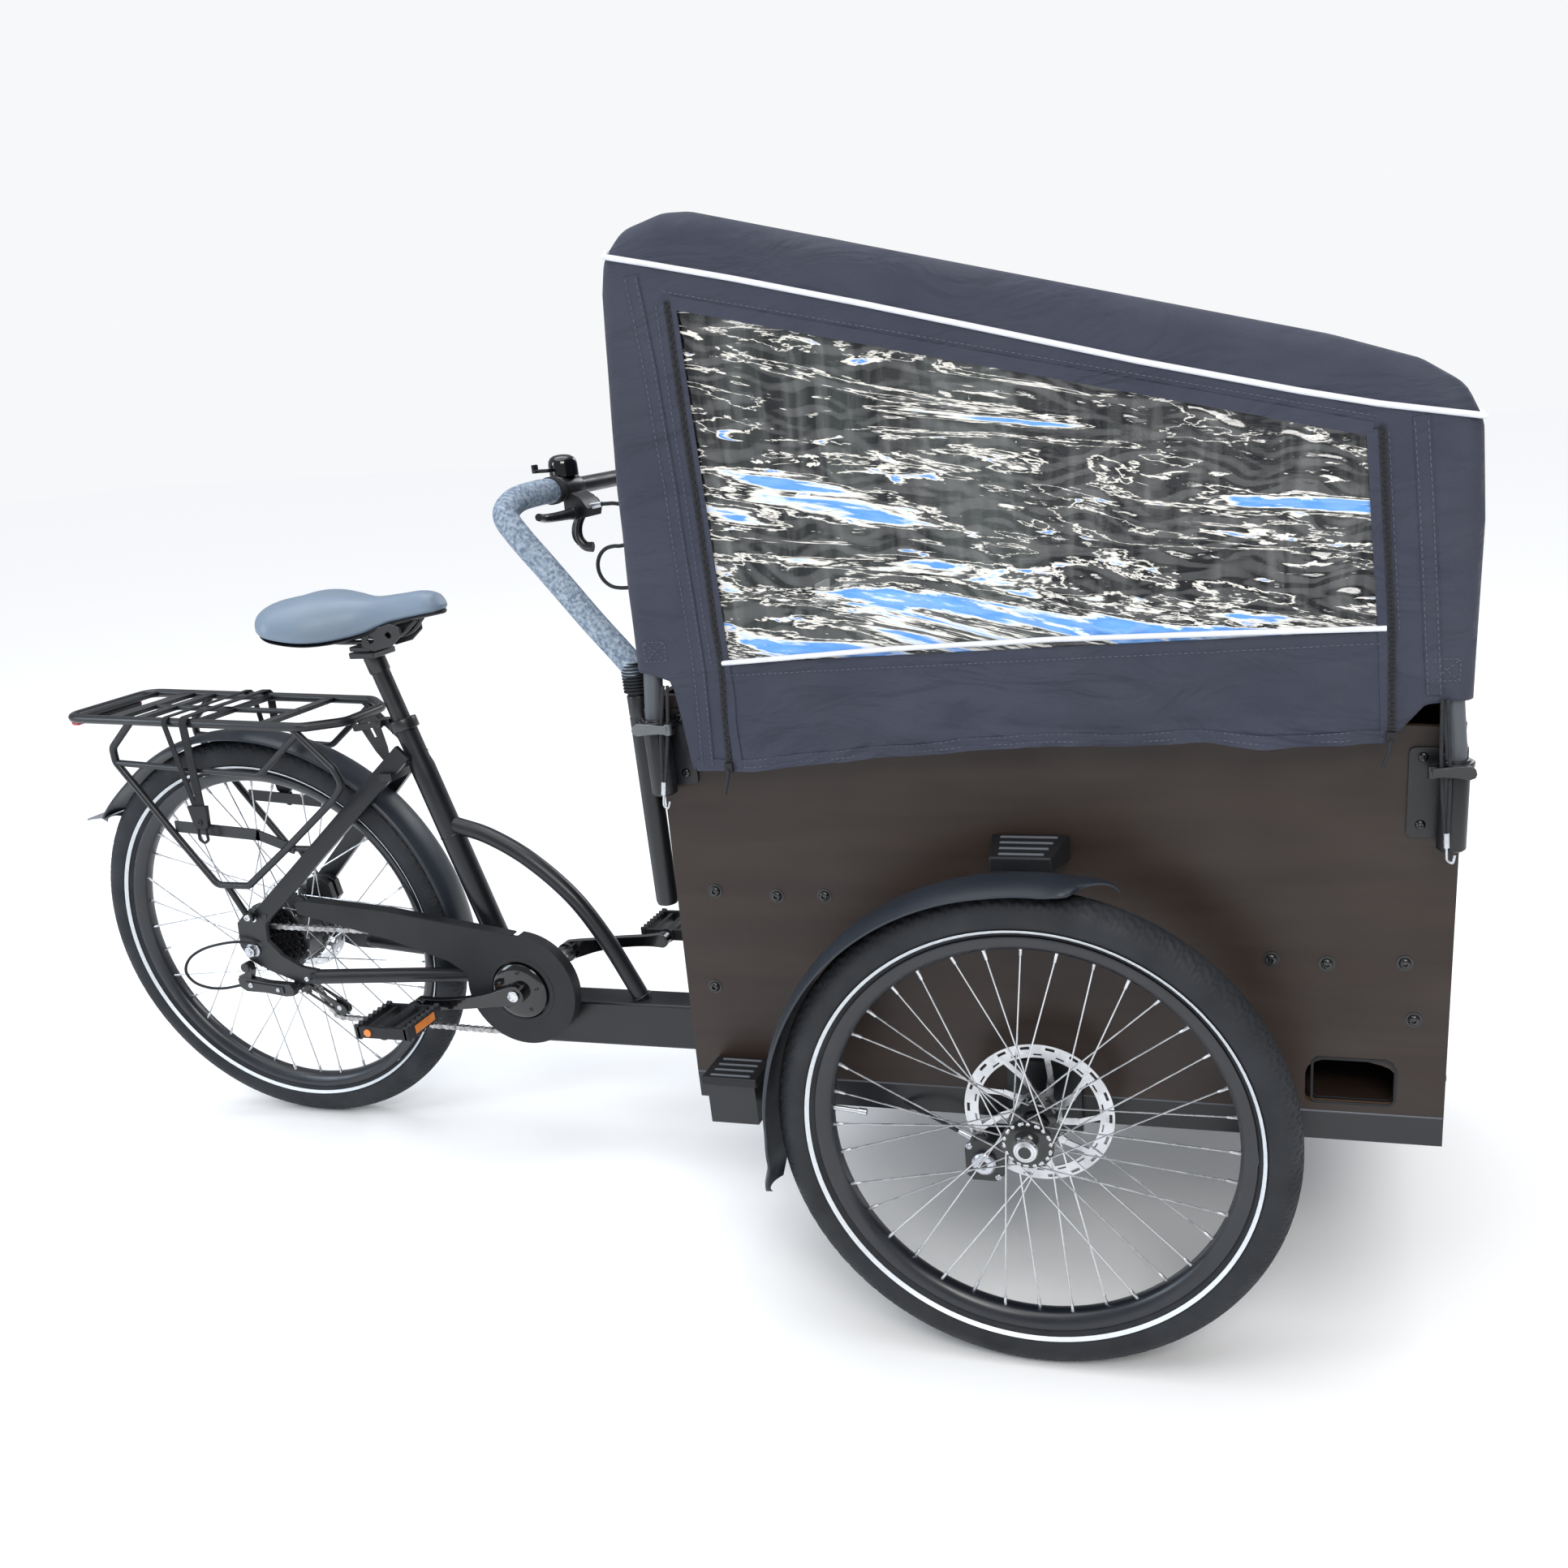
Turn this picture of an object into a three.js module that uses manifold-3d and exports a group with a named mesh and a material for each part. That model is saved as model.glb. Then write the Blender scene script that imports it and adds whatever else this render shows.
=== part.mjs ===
// Front-loading cargo tricycle with a plywood box, a fabric canopy and a chain-driven rear wheel.
// Millimetres. Inside the bicycle group X runs forwards from the front axle, Y to the left and
// Z up from the ground; the group is then moved so that the origin is the middle of the footprint.
import * as THREE from 'three';
import { mergeVertices } from 'three/addons/utils/BufferGeometryUtils.js';
import Module from 'manifold-3d';

const wasm = await Module();
wasm.setup();

// ---------------------------------------------------------------- driving dimensions
const GAP = 0.3;
const RING_STEPS = 28;

const FRONT_AXLE_SHIFT = 599.1;
const FRONT_WHEEL = { x: 0, y: 420, radius: 303.5 };
const REAR_WHEEL = { x: -1332.7, y: 0, radius: 329.5 };
const TYRE_WIDTH = 50;
const TYRE_HEIGHT = 48.5;
const RIM_DEPTH = 19;
const RIM_WIDTH = 30;
const SPOKES = 36;
const SPOKE_RADIUS = 1;
const SPOKE_LEAD = 52;

const BOX = { rear: -455.7, front: 455, side: 320, bottom: 303, rearTop: 800, frontTop: 758, lean: 10.7 };
const PANEL = 10;
const RAIL = { bottom: 267, width: 30 };
const PIVOT_X = -150;
const FENDER_HALF = 35;
const FENDER_STRUT = { degrees: 158, width: 20, reach: 83, thickness: 3 };

const BB = { x: -865, z: 278 };
const CRANK_LENGTH = 170;
const CRANK_ANGLE = THREE.MathUtils.degToRad(8);
const CHAIN_Y = -56;
const CHAINRING_RADIUS = 75.7;
const SMALL_COG_RADIUS = 28.5;

const SEAT_TUBE = { foot: [-921, 0, 283], slope: -0.271, radius: 18.5, length: 419 };
const SEATPOST_RADIUS = 13.6;

const SOCKET = { y: 336, rearX: -439, frontX: 445, outer: 15, bore: 11.4 };
const POLE_RADIUS = 11;
const BAR = { legX: -475, legY: 300, x: -600, z: 1029, radius: 10.5, grip: 15, gripEnd: 200, sleeve: 13.6 };
const CANOPY_SIDE = 350.5;
const CANOPY_SKIN = 3;

const PAINT = new THREE.MeshStandardMaterial({ color: 0x1c1f24, roughness: 0.55, metalness: 0.3 });
const BLACK_PLASTIC = new THREE.MeshStandardMaterial({ color: 0x141518, roughness: 0.6, metalness: 0 });
const FENDER_PLASTIC = new THREE.MeshStandardMaterial({ color: 0x262b33, roughness: 0.5, metalness: 0 });
const ALLOY = new THREE.MeshStandardMaterial({ color: 0x9aa0a8, roughness: 0.35, metalness: 0.9 });
const STEEL = new THREE.MeshStandardMaterial({ color: 0xb9bec4, roughness: 0.3, metalness: 1 });
const BLACK_ALLOY = new THREE.MeshStandardMaterial({ color: 0x1a1b1e, roughness: 0.4, metalness: 0.7 });
const RUBBER = new THREE.MeshStandardMaterial({ color: 0x1d1f22, roughness: 0.85, metalness: 0 });
const PLYWOOD = new THREE.MeshStandardMaterial({ color: 0x3a322f, roughness: 0.6, metalness: 0 });
const CANVAS = new THREE.MeshStandardMaterial({ color: 0x343a4a, roughness: 0.9, metalness: 0 });
const POLE_GREY = new THREE.MeshStandardMaterial({ color: 0x5d6670, roughness: 0.5, metalness: 0.4 });
const SADDLE_GREY = new THREE.MeshStandardMaterial({ color: 0x8b9fb8, roughness: 0.6, metalness: 0 });
const WEBBING = new THREE.MeshStandardMaterial({ color: 0x16171a, roughness: 0.9, metalness: 0 });
const RED_LENS = new THREE.MeshStandardMaterial({ color: 0xa0101c, roughness: 0.2, metalness: 0 });

const bicycle = new THREE.Group();
bicycle.position.x = FRONT_AXLE_SHIFT;

// ---------------------------------------------------------------- shape helpers
function solid(geometry) {
  const bare = geometry.clone();
  bare.deleteAttribute('normal');
  bare.deleteAttribute('uv');
  const merged = mergeVertices(bare, 1e-4);
  const corners = merged.index.array;
  const triangles = [];
  for (let i = 0; i < corners.length; i += 3) {
    const [a, b, c] = [corners[i], corners[i + 1], corners[i + 2]];
    if (a !== b && b !== c && c !== a) triangles.push(a, b, c);
  }
  return new wasm.Manifold(new wasm.Mesh({
    numProp: 3,
    vertProperties: new Float32Array(merged.attributes.position.array),
    triVerts: new Uint32Array(triangles),
  }));
}

function geometryOf(manifold) {
  const mesh = manifold.getMesh();
  const geometry = new THREE.BufferGeometry();
  geometry.setAttribute('position', new THREE.BufferAttribute(mesh.vertProperties, 3));
  geometry.setIndex(new THREE.BufferAttribute(mesh.triVerts, 1));
  return geometry;
}

function join(...pieces) {
  return geometryOf(pieces.map(solid).reduce((sum, piece) => sum.add(piece)));
}

function cut(piece, ...tools) {
  return geometryOf(tools.map(solid).reduce((rest, tool) => rest.subtract(tool), solid(piece)));
}

function mirrored(geometry) {
  const copy = mergeVertices(stripped(geometry), 1e-4);
  copy.scale(1, -1, 1);
  const corners = copy.index.array;
  for (let i = 0; i < corners.length; i += 3) [corners[i], corners[i + 1]] = [corners[i + 1], corners[i]];
  return copy;
}

function stripped(geometry) {
  const bare = geometry.clone();
  bare.deleteAttribute('normal');
  bare.deleteAttribute('uv');
  return bare;
}

function block([x0, x1], [y0, y1], [z0, z1]) {
  const geometry = new THREE.BoxGeometry(x1 - x0, y1 - y0, z1 - z0);
  return geometry.translate((x0 + x1) / 2, (y0 + y1) / 2, (z0 + z1) / 2);
}

// A round rod between two points.
function rod(from, to, radius, sides = 8) {
  const start = new THREE.Vector3(...from);
  const run = new THREE.Vector3(...to).sub(start);
  const geometry = new THREE.CylinderGeometry(radius, radius, run.length(), sides);
  geometry.applyQuaternion(new THREE.Quaternion().setFromUnitVectors(
    new THREE.Vector3(0, 1, 0), run.clone().normalize()));
  const middle = start.addScaledVector(run, 0.5);
  return geometry.translate(middle.x, middle.y, middle.z);
}

// A flat bar between two points: thick across Y, deep in the other direction.
function bar(from, to, thick, deep) {
  const start = new THREE.Vector3(...from);
  const run = new THREE.Vector3(...to).sub(start);
  const along = run.clone().normalize();
  const side = new THREE.Vector3(0, 1, 0).addScaledVector(along, -along.y).normalize();
  const third = new THREE.Vector3().crossVectors(side, along);
  const middle = start.addScaledVector(run, 0.5);
  const place = new THREE.Matrix4().makeBasis(side, along, third).setPosition(middle);
  return new THREE.BoxGeometry(thick, run.length(), deep).applyMatrix4(place);
}

// A round disc or tube stub whose axis runs along Y.
function disc(x, z, [y0, y1], radius, sides = 24) {
  return new THREE.CylinderGeometry(radius, radius, y1 - y0, sides).translate(x, (y0 + y1) / 2, z);
}

// A ring turned about Y from a closed list of [radius, y] corners.
function turned(profile, steps = RING_STEPS) {
  const corners = profile.map(([radius, y]) => new THREE.Vector2(radius, y));
  if (THREE.ShapeUtils.area(corners) < 0) corners.reverse();
  if (corners[0].x > 0 || corners[corners.length - 1].x > 0) corners.push(corners[0].clone());
  return new THREE.LatheGeometry(corners, steps);
}

// A bent tube: straight runs from point to point, each bend closed on its mitre plane.
function tube(points, radius, sides) {
  const path = points.map((point) => new THREE.Vector3(...point));
  const runs = path.slice(1).map((point, i) => point.clone().sub(path[i]).normalize());
  const turn = new THREE.Quaternion().setFromUnitVectors(new THREE.Vector3(0, 0, 1), runs[0]);
  let ring = [];
  for (let k = 0; k < sides; k += 1) {
    const angle = (k * 2 * Math.PI) / sides;
    const corner = new THREE.Vector3(radius * Math.cos(angle), radius * Math.sin(angle), 0);
    ring.push(corner.applyQuaternion(turn).add(path[0]));
  }
  const corners = [...ring];
  const faces = [];
  for (let k = 1; k < sides - 1; k += 1) faces.push(0, k + 1, k);
  for (let i = 1; i < path.length; i += 1) {
    const run = runs[i - 1];
    const mitre = run.clone().add(runs[Math.min(i, runs.length - 1)]);
    ring = ring.map((corner) => {
      const reach = mitre.dot(path[i].clone().sub(corner)) / mitre.dot(run);
      return corner.clone().addScaledVector(run, reach);
    });
    corners.push(...ring);
    for (let k = 0; k < sides; k += 1) {
      const next = (k + 1) % sides;
      const low = (i - 1) * sides;
      faces.push(low + k, low + next, low + sides + k, low + next, low + sides + next, low + sides + k);
    }
  }
  const last = corners.length - sides;
  for (let k = 1; k < sides - 1; k += 1) faces.push(last, last + k, last + k + 1);
  const geometry = new THREE.BufferGeometry().setFromPoints(corners);
  geometry.setIndex(faces);
  return geometry;
}

function outline(points, holes = []) {
  const shape = new THREE.Shape(points.map(([u, v]) => new THREE.Vector2(u, v)));
  shape.holes = holes;
  return shape;
}

// A plate with its outline in X and Z, and its thickness along Y.
function plate(shape, [y0, y1], curveSegments = 8) {
  const geometry = new THREE.ExtrudeGeometry(shape, { depth: y1 - y0, bevelEnabled: false, curveSegments });
  return geometry.rotateX(Math.PI / 2).translate(0, y1, 0);
}

// A plate with its outline in X and Y, and its thickness along Z.
function slab(shape, [z0, z1], curveSegments = 8) {
  const geometry = new THREE.ExtrudeGeometry(shape, { depth: z1 - z0, bevelEnabled: false, curveSegments });
  return geometry.translate(0, 0, z0);
}

function part(name, geometry, material, position = [0, 0, 0]) {
  const mesh = new THREE.Mesh(geometry, material);
  mesh.name = name;
  mesh.position.set(...position);
  bicycle.add(mesh);
}

// The right-hand piece as drawn, and its mirror image on the left.
function pair(name, geometry, material) {
  part(`${name}_right`, geometry, material);
  part(`${name}_left`, mirrored(geometry), material);
}

function polar(centre, radius, degrees) {
  const angle = THREE.MathUtils.degToRad(degrees);
  return [centre.x + radius * Math.cos(angle), centre.z + radius * Math.sin(angle)];
}

// ---------------------------------------------------------------- wheels
function tyre(radius) {
  const half = TYRE_WIDTH / 2;
  const bead = radius - TYRE_HEIGHT;
  return turned([
    [bead, -13], [radius - 28, -half], [radius - 8, -17], [radius, 0], [radius - 8, 17],
    [radius - 28, half], [bead, 13], [radius - 30, 18], [radius - 9, 0], [radius - 30, -18],
  ]);
}

function rim(radius) {
  const outer = radius - TYRE_HEIGHT - GAP;
  const half = RIM_WIDTH / 2;
  return turned([
    [outer, -half], [outer - RIM_DEPTH, -8], [outer - RIM_DEPTH, 8],
    [outer, half], [outer - 8, 9], [outer - 8, -9],
  ]);
}

// Spokes leave the two flanges in turn and end just short of the rim's inner flats.
function spokes(hubRadius, flanges, wheelRadius) {
  const rimRadius = (wheelRadius - TYRE_HEIGHT - RIM_DEPTH) * Math.cos(Math.PI / RING_STEPS) - 1.5;
  const rods = [];
  for (let i = 0; i < SPOKES; i += 1) {
    const rimAngle = (i * 360) / SPOKES;
    const side = i % 2;
    const lead = side ? SPOKE_LEAD : -SPOKE_LEAD;
    const [hubX, hubZ] = polar({ x: 0, z: 0 }, hubRadius, rimAngle + lead);
    const [rimX, rimZ] = polar({ x: 0, z: 0 }, rimRadius, rimAngle);
    rods.push(rod([hubX, flanges[side], hubZ], [rimX, side ? 3 : -3, rimZ], SPOKE_RADIUS, 3));
  }
  return rods;
}

// A brake rotor: a ring carried on six arms.
function rotor(radius, y, centre) {
  const ring = turned([[radius - 15, y - 1], [radius, y - 1], [radius, y + 1], [radius - 15, y + 1]], 24);
  const arms = [];
  for (let i = 0; i < 6; i += 1) {
    const [x, z] = polar({ x: 0, z: 0 }, radius - 10, i * 60);
    const [x0, z0] = polar({ x: 0, z: 0 }, centre, i * 60 - 25);
    arms.push(bar([x0, y, z0], [x, y, z], 2, 8));
  }
  const boss = turned([[9.2, y - 1], [centre + 3, y - 1], [centre + 3, y + 1], [9.2, y + 1]], 12);
  return [ring, boss, ...arms];
}

// The front hub turns on a stub axle that enters it from the box side only.
function frontHub() {
  const shell = turned([
    [0, -28], [13, -28], [15, -21], [31, -18], [31, -15], [19, -12], [19, 17], [31, 20], [31, 23],
    [22, 26], [22, 55], [9.2, 55], [9.2, -20], [0, -20],
  ], 16);
  const lacing = spokes(27, [-16.5, 21.5], FRONT_WHEEL.radius);
  return join(shell, ...lacing, ...rotor(90, 54, 20));
}

function rearHub() {
  const shell = turned([
    [5.6, -60], [16, -60], [16, -29], [56, -28], [62, -26], [62, -22], [57, -20], [57, 20],
    [62, 22], [62, 26], [56, 28], [20, 30], [20, 44], [5.6, 44],
  ], 20);
  const lacing = spokes(60, [-24, 24], REAR_WHEEL.radius);
  return join(shell, ...lacing, ...rotor(80, 43, 18));
}

function buildWheels() {
  const hub = frontHub();
  const sides = [['right', -1, hub], ['left', 1, mirrored(hub)]];
  for (const [side, sign, hubGeometry] of sides) {
    const place = [FRONT_WHEEL.x, sign * FRONT_WHEEL.y, FRONT_WHEEL.radius];
    part(`front_tyre_${side}`, tyre(FRONT_WHEEL.radius), RUBBER, place);
    part(`front_rim_${side}`, rim(FRONT_WHEEL.radius), BLACK_ALLOY, place);
    part(`front_hub_${side}`, hubGeometry, STEEL, place);
  }
  const place = [REAR_WHEEL.x, 0, REAR_WHEEL.radius];
  part('rear_tyre', tyre(REAR_WHEEL.radius), RUBBER, place);
  part('rear_rim', rim(REAR_WHEEL.radius), BLACK_ALLOY, place);
  part('rear_hub', rearHub(), STEEL, place);
  part('cassette', turned([
    [16.4, -32], [58, -32], [58, -38.5], [47, -39], [47, -45.5], [36, -46], [36, -52],
    [SMALL_COG_RADIUS, -52.5], [SMALL_COG_RADIUS, -62], [16.4, -62],
  ], 20), STEEL, place);
}

// ---------------------------------------------------------------- rear frame
function alongSeatTube(distance) {
  const length = Math.hypot(1, SEAT_TUBE.slope);
  const [x, y, z] = SEAT_TUBE.foot;
  return [x + (distance * SEAT_TUBE.slope) / length, y, z + distance / length];
}

// Right dropout with the bent lower arm that becomes the chainstay.
function dropout() {
  return plate(outline([
    [-1330, 396], [-1352, 375], [-1357, 335], [-1345, 311], [-1310, 293], [-1262, 274], [-1222, 271],
    [-1222, 299], [-1250, 303], [-1283, 321], [-1303, 345], [-1300, 372], [-1292, 392],
  ]), [-76, -68]);
}

function stays() {
  return [
    rod([-1232, -72, 285.5], [-978, -34, 284], 12, 8),
    rod([-978, -34, 284], [-880, -26, 280], 12, 8),
    bar([-1308, -72, 384], [-1022, -22, 645], 9, 27),
    dropout(),
  ];
}

function mainFrame() {
  const right = stays();
  const [topX, , topZ] = alongSeatTube(SEAT_TUBE.length);
  const neck = alongSeatTube(335);
  const frame = join(
    block([-885, -205], [-26, 26], [168, 242]),
    block([-205, PIVOT_X + 38], [-38, 38], [200, 242]),
    rod([PIVOT_X, 0, 240], [PIVOT_X, 0, 298], 15, 16),
    disc(BB.x, BB.z, [-36, 36], 22, 16),
    block([-885, -845], [-24, 24], [230, 270]),
    rod(SEAT_TUBE.foot, neck, SEAT_TUBE.radius, 12),
    rod(alongSeatTube(300), [topX, 0, topZ], 16.5, 12),
    rod(SEAT_TUBE.foot, [BB.x, 0, BB.z], 16, 10),
    tube([[-982, 0, 524], [-918, 0, 504], [-855, 0, 467], [-793, 0, 409], [-748, 0, 341], [-714, 0, 272],
      [-698, 0, 232]], 13, 10),
    ...right,
    ...right.map(mirrored),
    block([-1062, -1040], [-40, 40], [603, 615]),
  );
  return cut(
    frame,
    rod(alongSeatTube(120), alongSeatTube(SEAT_TUBE.length + 20), SEATPOST_RADIUS + GAP, 12),
    disc(BB.x, BB.z, [-40, 40], 9, 12),
    disc(REAR_WHEEL.x, REAR_WHEEL.radius, [-80, -60], 5.4, 12),
    disc(REAR_WHEEL.x, REAR_WHEEL.radius, [60, 80], 5.4, 12),
  );
}

// An arched strip swept round a wheel; each stop is [degrees, radius].
function fender(centre, stops, y, half, steps) {
  const points = stops.map(([degrees, radius]) => {
    const [x, z] = polar(centre, radius, degrees);
    return new THREE.Vector3(x, y, z);
  });
  const section = outline([
    [-half, -5], [-half * 0.6, 3], [half * 0.6, 3], [half, -5],
    [half - 3, -6], [half * 0.55, 0], [-half * 0.55, 0], [-half + 3, -6],
  ]);
  return new THREE.ExtrudeGeometry(section, {
    extrudePath: new THREE.CatmullRomCurve3(points), steps, bevelEnabled: false,
  });
}


// Height of the carrier's platform, which falls slightly towards the saddle.
function rackHeight(x) {
  return 712 - 0.0375 * (x + 1470);
}

function rearRack() {
  const side = 85;
  const loop = [
    [-1452, -side, 706], [-1492, -side, 668], [-1493, -side, 645], [-1427, -side, 542],
    [-1361, -side, 444], [-1303, -side, 444], [-1219, -side, 506], [-1113, -side, 588],
    [-1092, -side, 612], [-1101, -side, 637], [-1158, -side, 694],
  ];
  const right = [
    tube(loop, 5.5, 6),
    tube([[-1490, -side, 644], [-1369, -side, 635], [-1235, -side, 625], [-1150, -side, 684]], 5, 5),
    rod([-1345, -side, 446], [-1320, -side, 392], 5, 5),
    bar([-1415, -side + 3, 540], [-1262, -side + 3, 528], 3, 18),
    bar([-1268, -side + 3, 529], [-1205, -side + 3, 506], 3, 16),
  ];
  const slats = [-1562, -1485, -1440, -1330, -1215].map((x) => {
    const z = rackHeight(x);
    return block([x - 9, x + 9], [-side, side], [z - 3, z + 3]);
  });
  const rail = tube([[-1562, -side], [-1140, -side], [-1095, -45], [-1095, 45], [-1140, side], [-1562, side]]
    .map(([x, y]) => [x, y, rackHeight(x)]), 7, 6);
  const spine = rod([-1480, 0, rackHeight(-1480)], [-1210, 0, rackHeight(-1210)], 4.5, 6);
  const tongue = bar([-1095, 0, 698], [-1070, 0, 622], 40, 3);
  return join(...right, ...right.map(mirrored), ...slats, rail, spine, tongue);
}

function rackStrap() {
  const z = rackHeight(-1350);
  const leg = join(
    bar([-1358, -94, z + 2], [-1353, -94, 552], 2.5, 20),
    block([-1364, -1342], [-99, -92.8], [516, 556]),
  );
  const top = block([-1368, -1348], [-95.2, 95.2], [z + 8.4, z + 10.9]);
  return join(leg, mirrored(leg), top, block([-1368, -1348], [-95.2, -92.8], [z - 6, z + 10.9]),
    block([-1368, -1348], [92.8, 95.2], [z - 6, z + 10.9]));
}

// The brake caliper straddles the rotor; the slot is the swept disc of the rotor with running clearance.
function caliper(body, arm, wheel, slotRadius, slotY) {
  return cut(join(body, arm), disc(wheel.x, wheel.radius, slotY, slotRadius, 48));
}

function guardOutline(margin, drop) {
  const shape = new THREE.Shape();
  const radius = 91 - margin;
  const [topX, topZ] = polar(BB, radius, 84);
  shape.moveTo(topX, topZ);
  shape.lineTo(-1080, 401 - margin);
  shape.lineTo(-1225, 414 - margin);
  shape.lineTo(-1247 + margin, 404 - margin);
  shape.lineTo(-1243 + margin, 394 - drop);
  shape.lineTo(-1078, 352 - drop);
  const [lowX, lowZ] = polar(BB, radius, 160);
  shape.lineTo(lowX, lowZ - drop / 3);
  shape.absarc(BB.x, BB.z, radius, THREE.MathUtils.degToRad(165), THREE.MathUtils.degToRad(444), false);
  return shape;
}

function chainGuard() {
  const face = plate(guardOutline(0, 0), [-69, -66], 12);
  const wall = cut(plate(guardOutline(0, 0), [-66.5, -48], 12), plate(guardOutline(3, 40), [-67, -47], 12));
  const whole = join(face, wall);
  return cut(
    whole,
    disc(BB.x, BB.z, [-80, -40], 48, 28),
    block([-1250, -868], [-65.9, -40], [150, 240]),
  );
}

// Path of the chain round its four wheels, offset sideways; turn is +1 anticlockwise, -1 clockwise.
function chainOutline(offset) {
  const stops = [
    { x: BB.x, z: BB.z, radius: CHAINRING_RADIUS + 5.6, turn: 1 },
    { x: REAR_WHEEL.x, z: REAR_WHEEL.radius, radius: SMALL_COG_RADIUS + 4.4, turn: 1 },
    { x: -1270, z: 262, radius: 20, turn: -1 },
    { x: -1208, z: 226, radius: 20, turn: 1 },
  ].map((stop) => ({ ...stop, radius: stop.radius + offset * stop.turn }));
  const spans = stops.map((stop, i) => {
    const next = stops[(i + 1) % stops.length];
    const distance = Math.hypot(next.x - stop.x, next.z - stop.z);
    const across = next.turn * next.radius - stop.turn * stop.radius;
    const heading = Math.atan2(next.z - stop.z, next.x - stop.x)
      - Math.atan2(across, Math.sqrt(distance ** 2 - across ** 2));
    return heading;
  });
  const shape = new THREE.Shape();
  stops.forEach((stop, i) => {
    const arriving = spans[(i + stops.length - 1) % stops.length];
    const leaving = spans[i];
    const start = arriving - (stop.turn * Math.PI) / 2;
    const end = leaving - (stop.turn * Math.PI) / 2;
    shape.absarc(stop.x, stop.z, stop.radius, start, end, stop.turn < 0);
  });
  return shape;
}

function chain() {
  const shape = chainOutline(4);
  shape.holes = [chainOutline(-4)];
  return plate(shape, [CHAIN_Y - 3.2, CHAIN_Y + 3.2], 10);
}

function derailleur() {
  const y = CHAIN_Y;
  return join(
    disc(-1345, 303, [-92, -76.4], 8, 10),
    bar([-1345, -86, 300], [-1352, -86, 276], 12, 16),
    bar([-1358, -85, 274], [-1272, -84, 268], 12, 20),
    disc(-1272, 266, [-88, -60], 8, 12),
    bar([-1274, y - 6, 268], [-1204, y - 6, 222], 2.4, 16),
    bar([-1274, y + 6, 268], [-1204, y + 6, 222], 2.4, 16),
    disc(-1270, 262, [y - 7, y + 7], 3, 8),
    disc(-1208, 226, [y - 7, y + 7], 3, 8),
    disc(-1270, 262, [y - 1.5, y + 1.5], 15.4, 14),
    disc(-1208, 226, [y - 1.5, y + 1.5], 15.4, 14),
  );
}

function rearAxle() {
  const axle = disc(REAR_WHEEL.x, REAR_WHEEL.radius, [-90, 90], 5, 10);
  const nut = disc(REAR_WHEEL.x, REAR_WHEEL.radius, [-86, -76.4], 9.5, 6);
  return join(axle, nut, mirrored(nut));
}

function buildRearFrame() {
  part('main_frame', mainFrame(), PAINT);
  part('rear_axle', rearAxle(), ALLOY);
  part('rear_fender', fender({ x: REAR_WHEEL.x, z: REAR_WHEEL.radius },
    [[0, 343], [20, 343], [40, 343], [60, 343], [80, 343], [100, 343], [120, 343], [138, 343], [146, 352]],
    0, 30, 18), FENDER_PLASTIC);
  part('rear_rack', rearRack(), PAINT);
  part('rack_strap', rackStrap(), WEBBING);
  part('tail_light', block([-1574, -1552], [-50, 50], [699, 711.8]), RED_LENS);
  part('chain_guard', chainGuard(), BLACK_PLASTIC);
  part('chain', chain(), STEEL);
  part('derailleur', derailleur(), BLACK_ALLOY);
  part('rear_caliper', caliper(
    block([-1302, -1252], [30, 57], [366, 412]),
    block([-1316, -1296], [45.6, 57], [368, 384]),
    REAR_WHEEL, 83, [40.5, 45.5]), BLACK_ALLOY);
}

// ---------------------------------------------------------------- seat
function seatClamp() {
  const foot = alongSeatTube(SEAT_TUBE.length - 14);
  const top = alongSeatTube(SEAT_TUBE.length + 3);
  const ears = block([-1068, -1046], [-9, 9], [681, 692]);
  const ring = join(rod(foot, top, 21, 14), ears);
  return cut(ring, rod(alongSeatTube(SEAT_TUBE.length - 60), alongSeatTube(SEAT_TUBE.length), 16.9, 12),
    rod(alongSeatTube(SEAT_TUBE.length - 60), alongSeatTube(SEAT_TUBE.length + 20), 14.2, 12));
}

function seatPost() {
  const [x, , z] = alongSeatTube(530);
  return join(
    rod(alongSeatTube(170), [x, 0, z], SEATPOST_RADIUS, 12),
    block([x - 20, x + 22], [-28, 28], [z - 6, z + 12]),
  );
}

function saddleOutline(scale) {
  const shape = new THREE.Shape();
  shape.moveTo(-1207, 0);
  shape.bezierCurveTo(-1207, -55 * scale, -1190, -98 * scale, -1145, -98 * scale);
  shape.bezierCurveTo(-1080, -92 * scale, -1070, -26 * scale, -990, -24 * scale);
  shape.bezierCurveTo(-945, -24 * scale, -930, -22 * scale, -929, 0);
  shape.bezierCurveTo(-930, 22 * scale, -945, 24 * scale, -990, 24 * scale);
  shape.bezierCurveTo(-1070, 26 * scale, -1080, 92 * scale, -1145, 98 * scale);
  shape.bezierCurveTo(-1190, 98 * scale, -1207, 55 * scale, -1207, 0);
  return shape;
}

function saddleBase() {
  const rails = [-22, 22].flatMap((y) => [
    rod([-1150, y * 1.6, 823], [-1110, y, 812.6], 3.5, 5),
    rod([-1110, y, 812.6], [-1020, y, 812.6], 3.5, 5),
    rod([-1020, y, 812.6], [-985, y * 0.6, 827], 3.5, 5),
  ]);
  return join(slab(saddleOutline(0.94), [820, 833.5], 5), ...rails);
}

function buildSeat() {
  part('seat_clamp', seatClamp(), BLACK_ALLOY);
  part('seat_post', seatPost(), BLACK_ALLOY);
  part('saddle_base', saddleBase(), BLACK_PLASTIC);
  part('saddle_cover', slab(saddleOutline(1), [834, 876], 6), SADDLE_GREY);
  part('seat_lever', join(
    rod([-1061, -15.8, 682], [-1061, -15.8, 691], 6, 12),
    bar([-1061, -18, 686], [-1098, -28, 683], 5, 12),
  ), BLACK_ALLOY);
}

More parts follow.
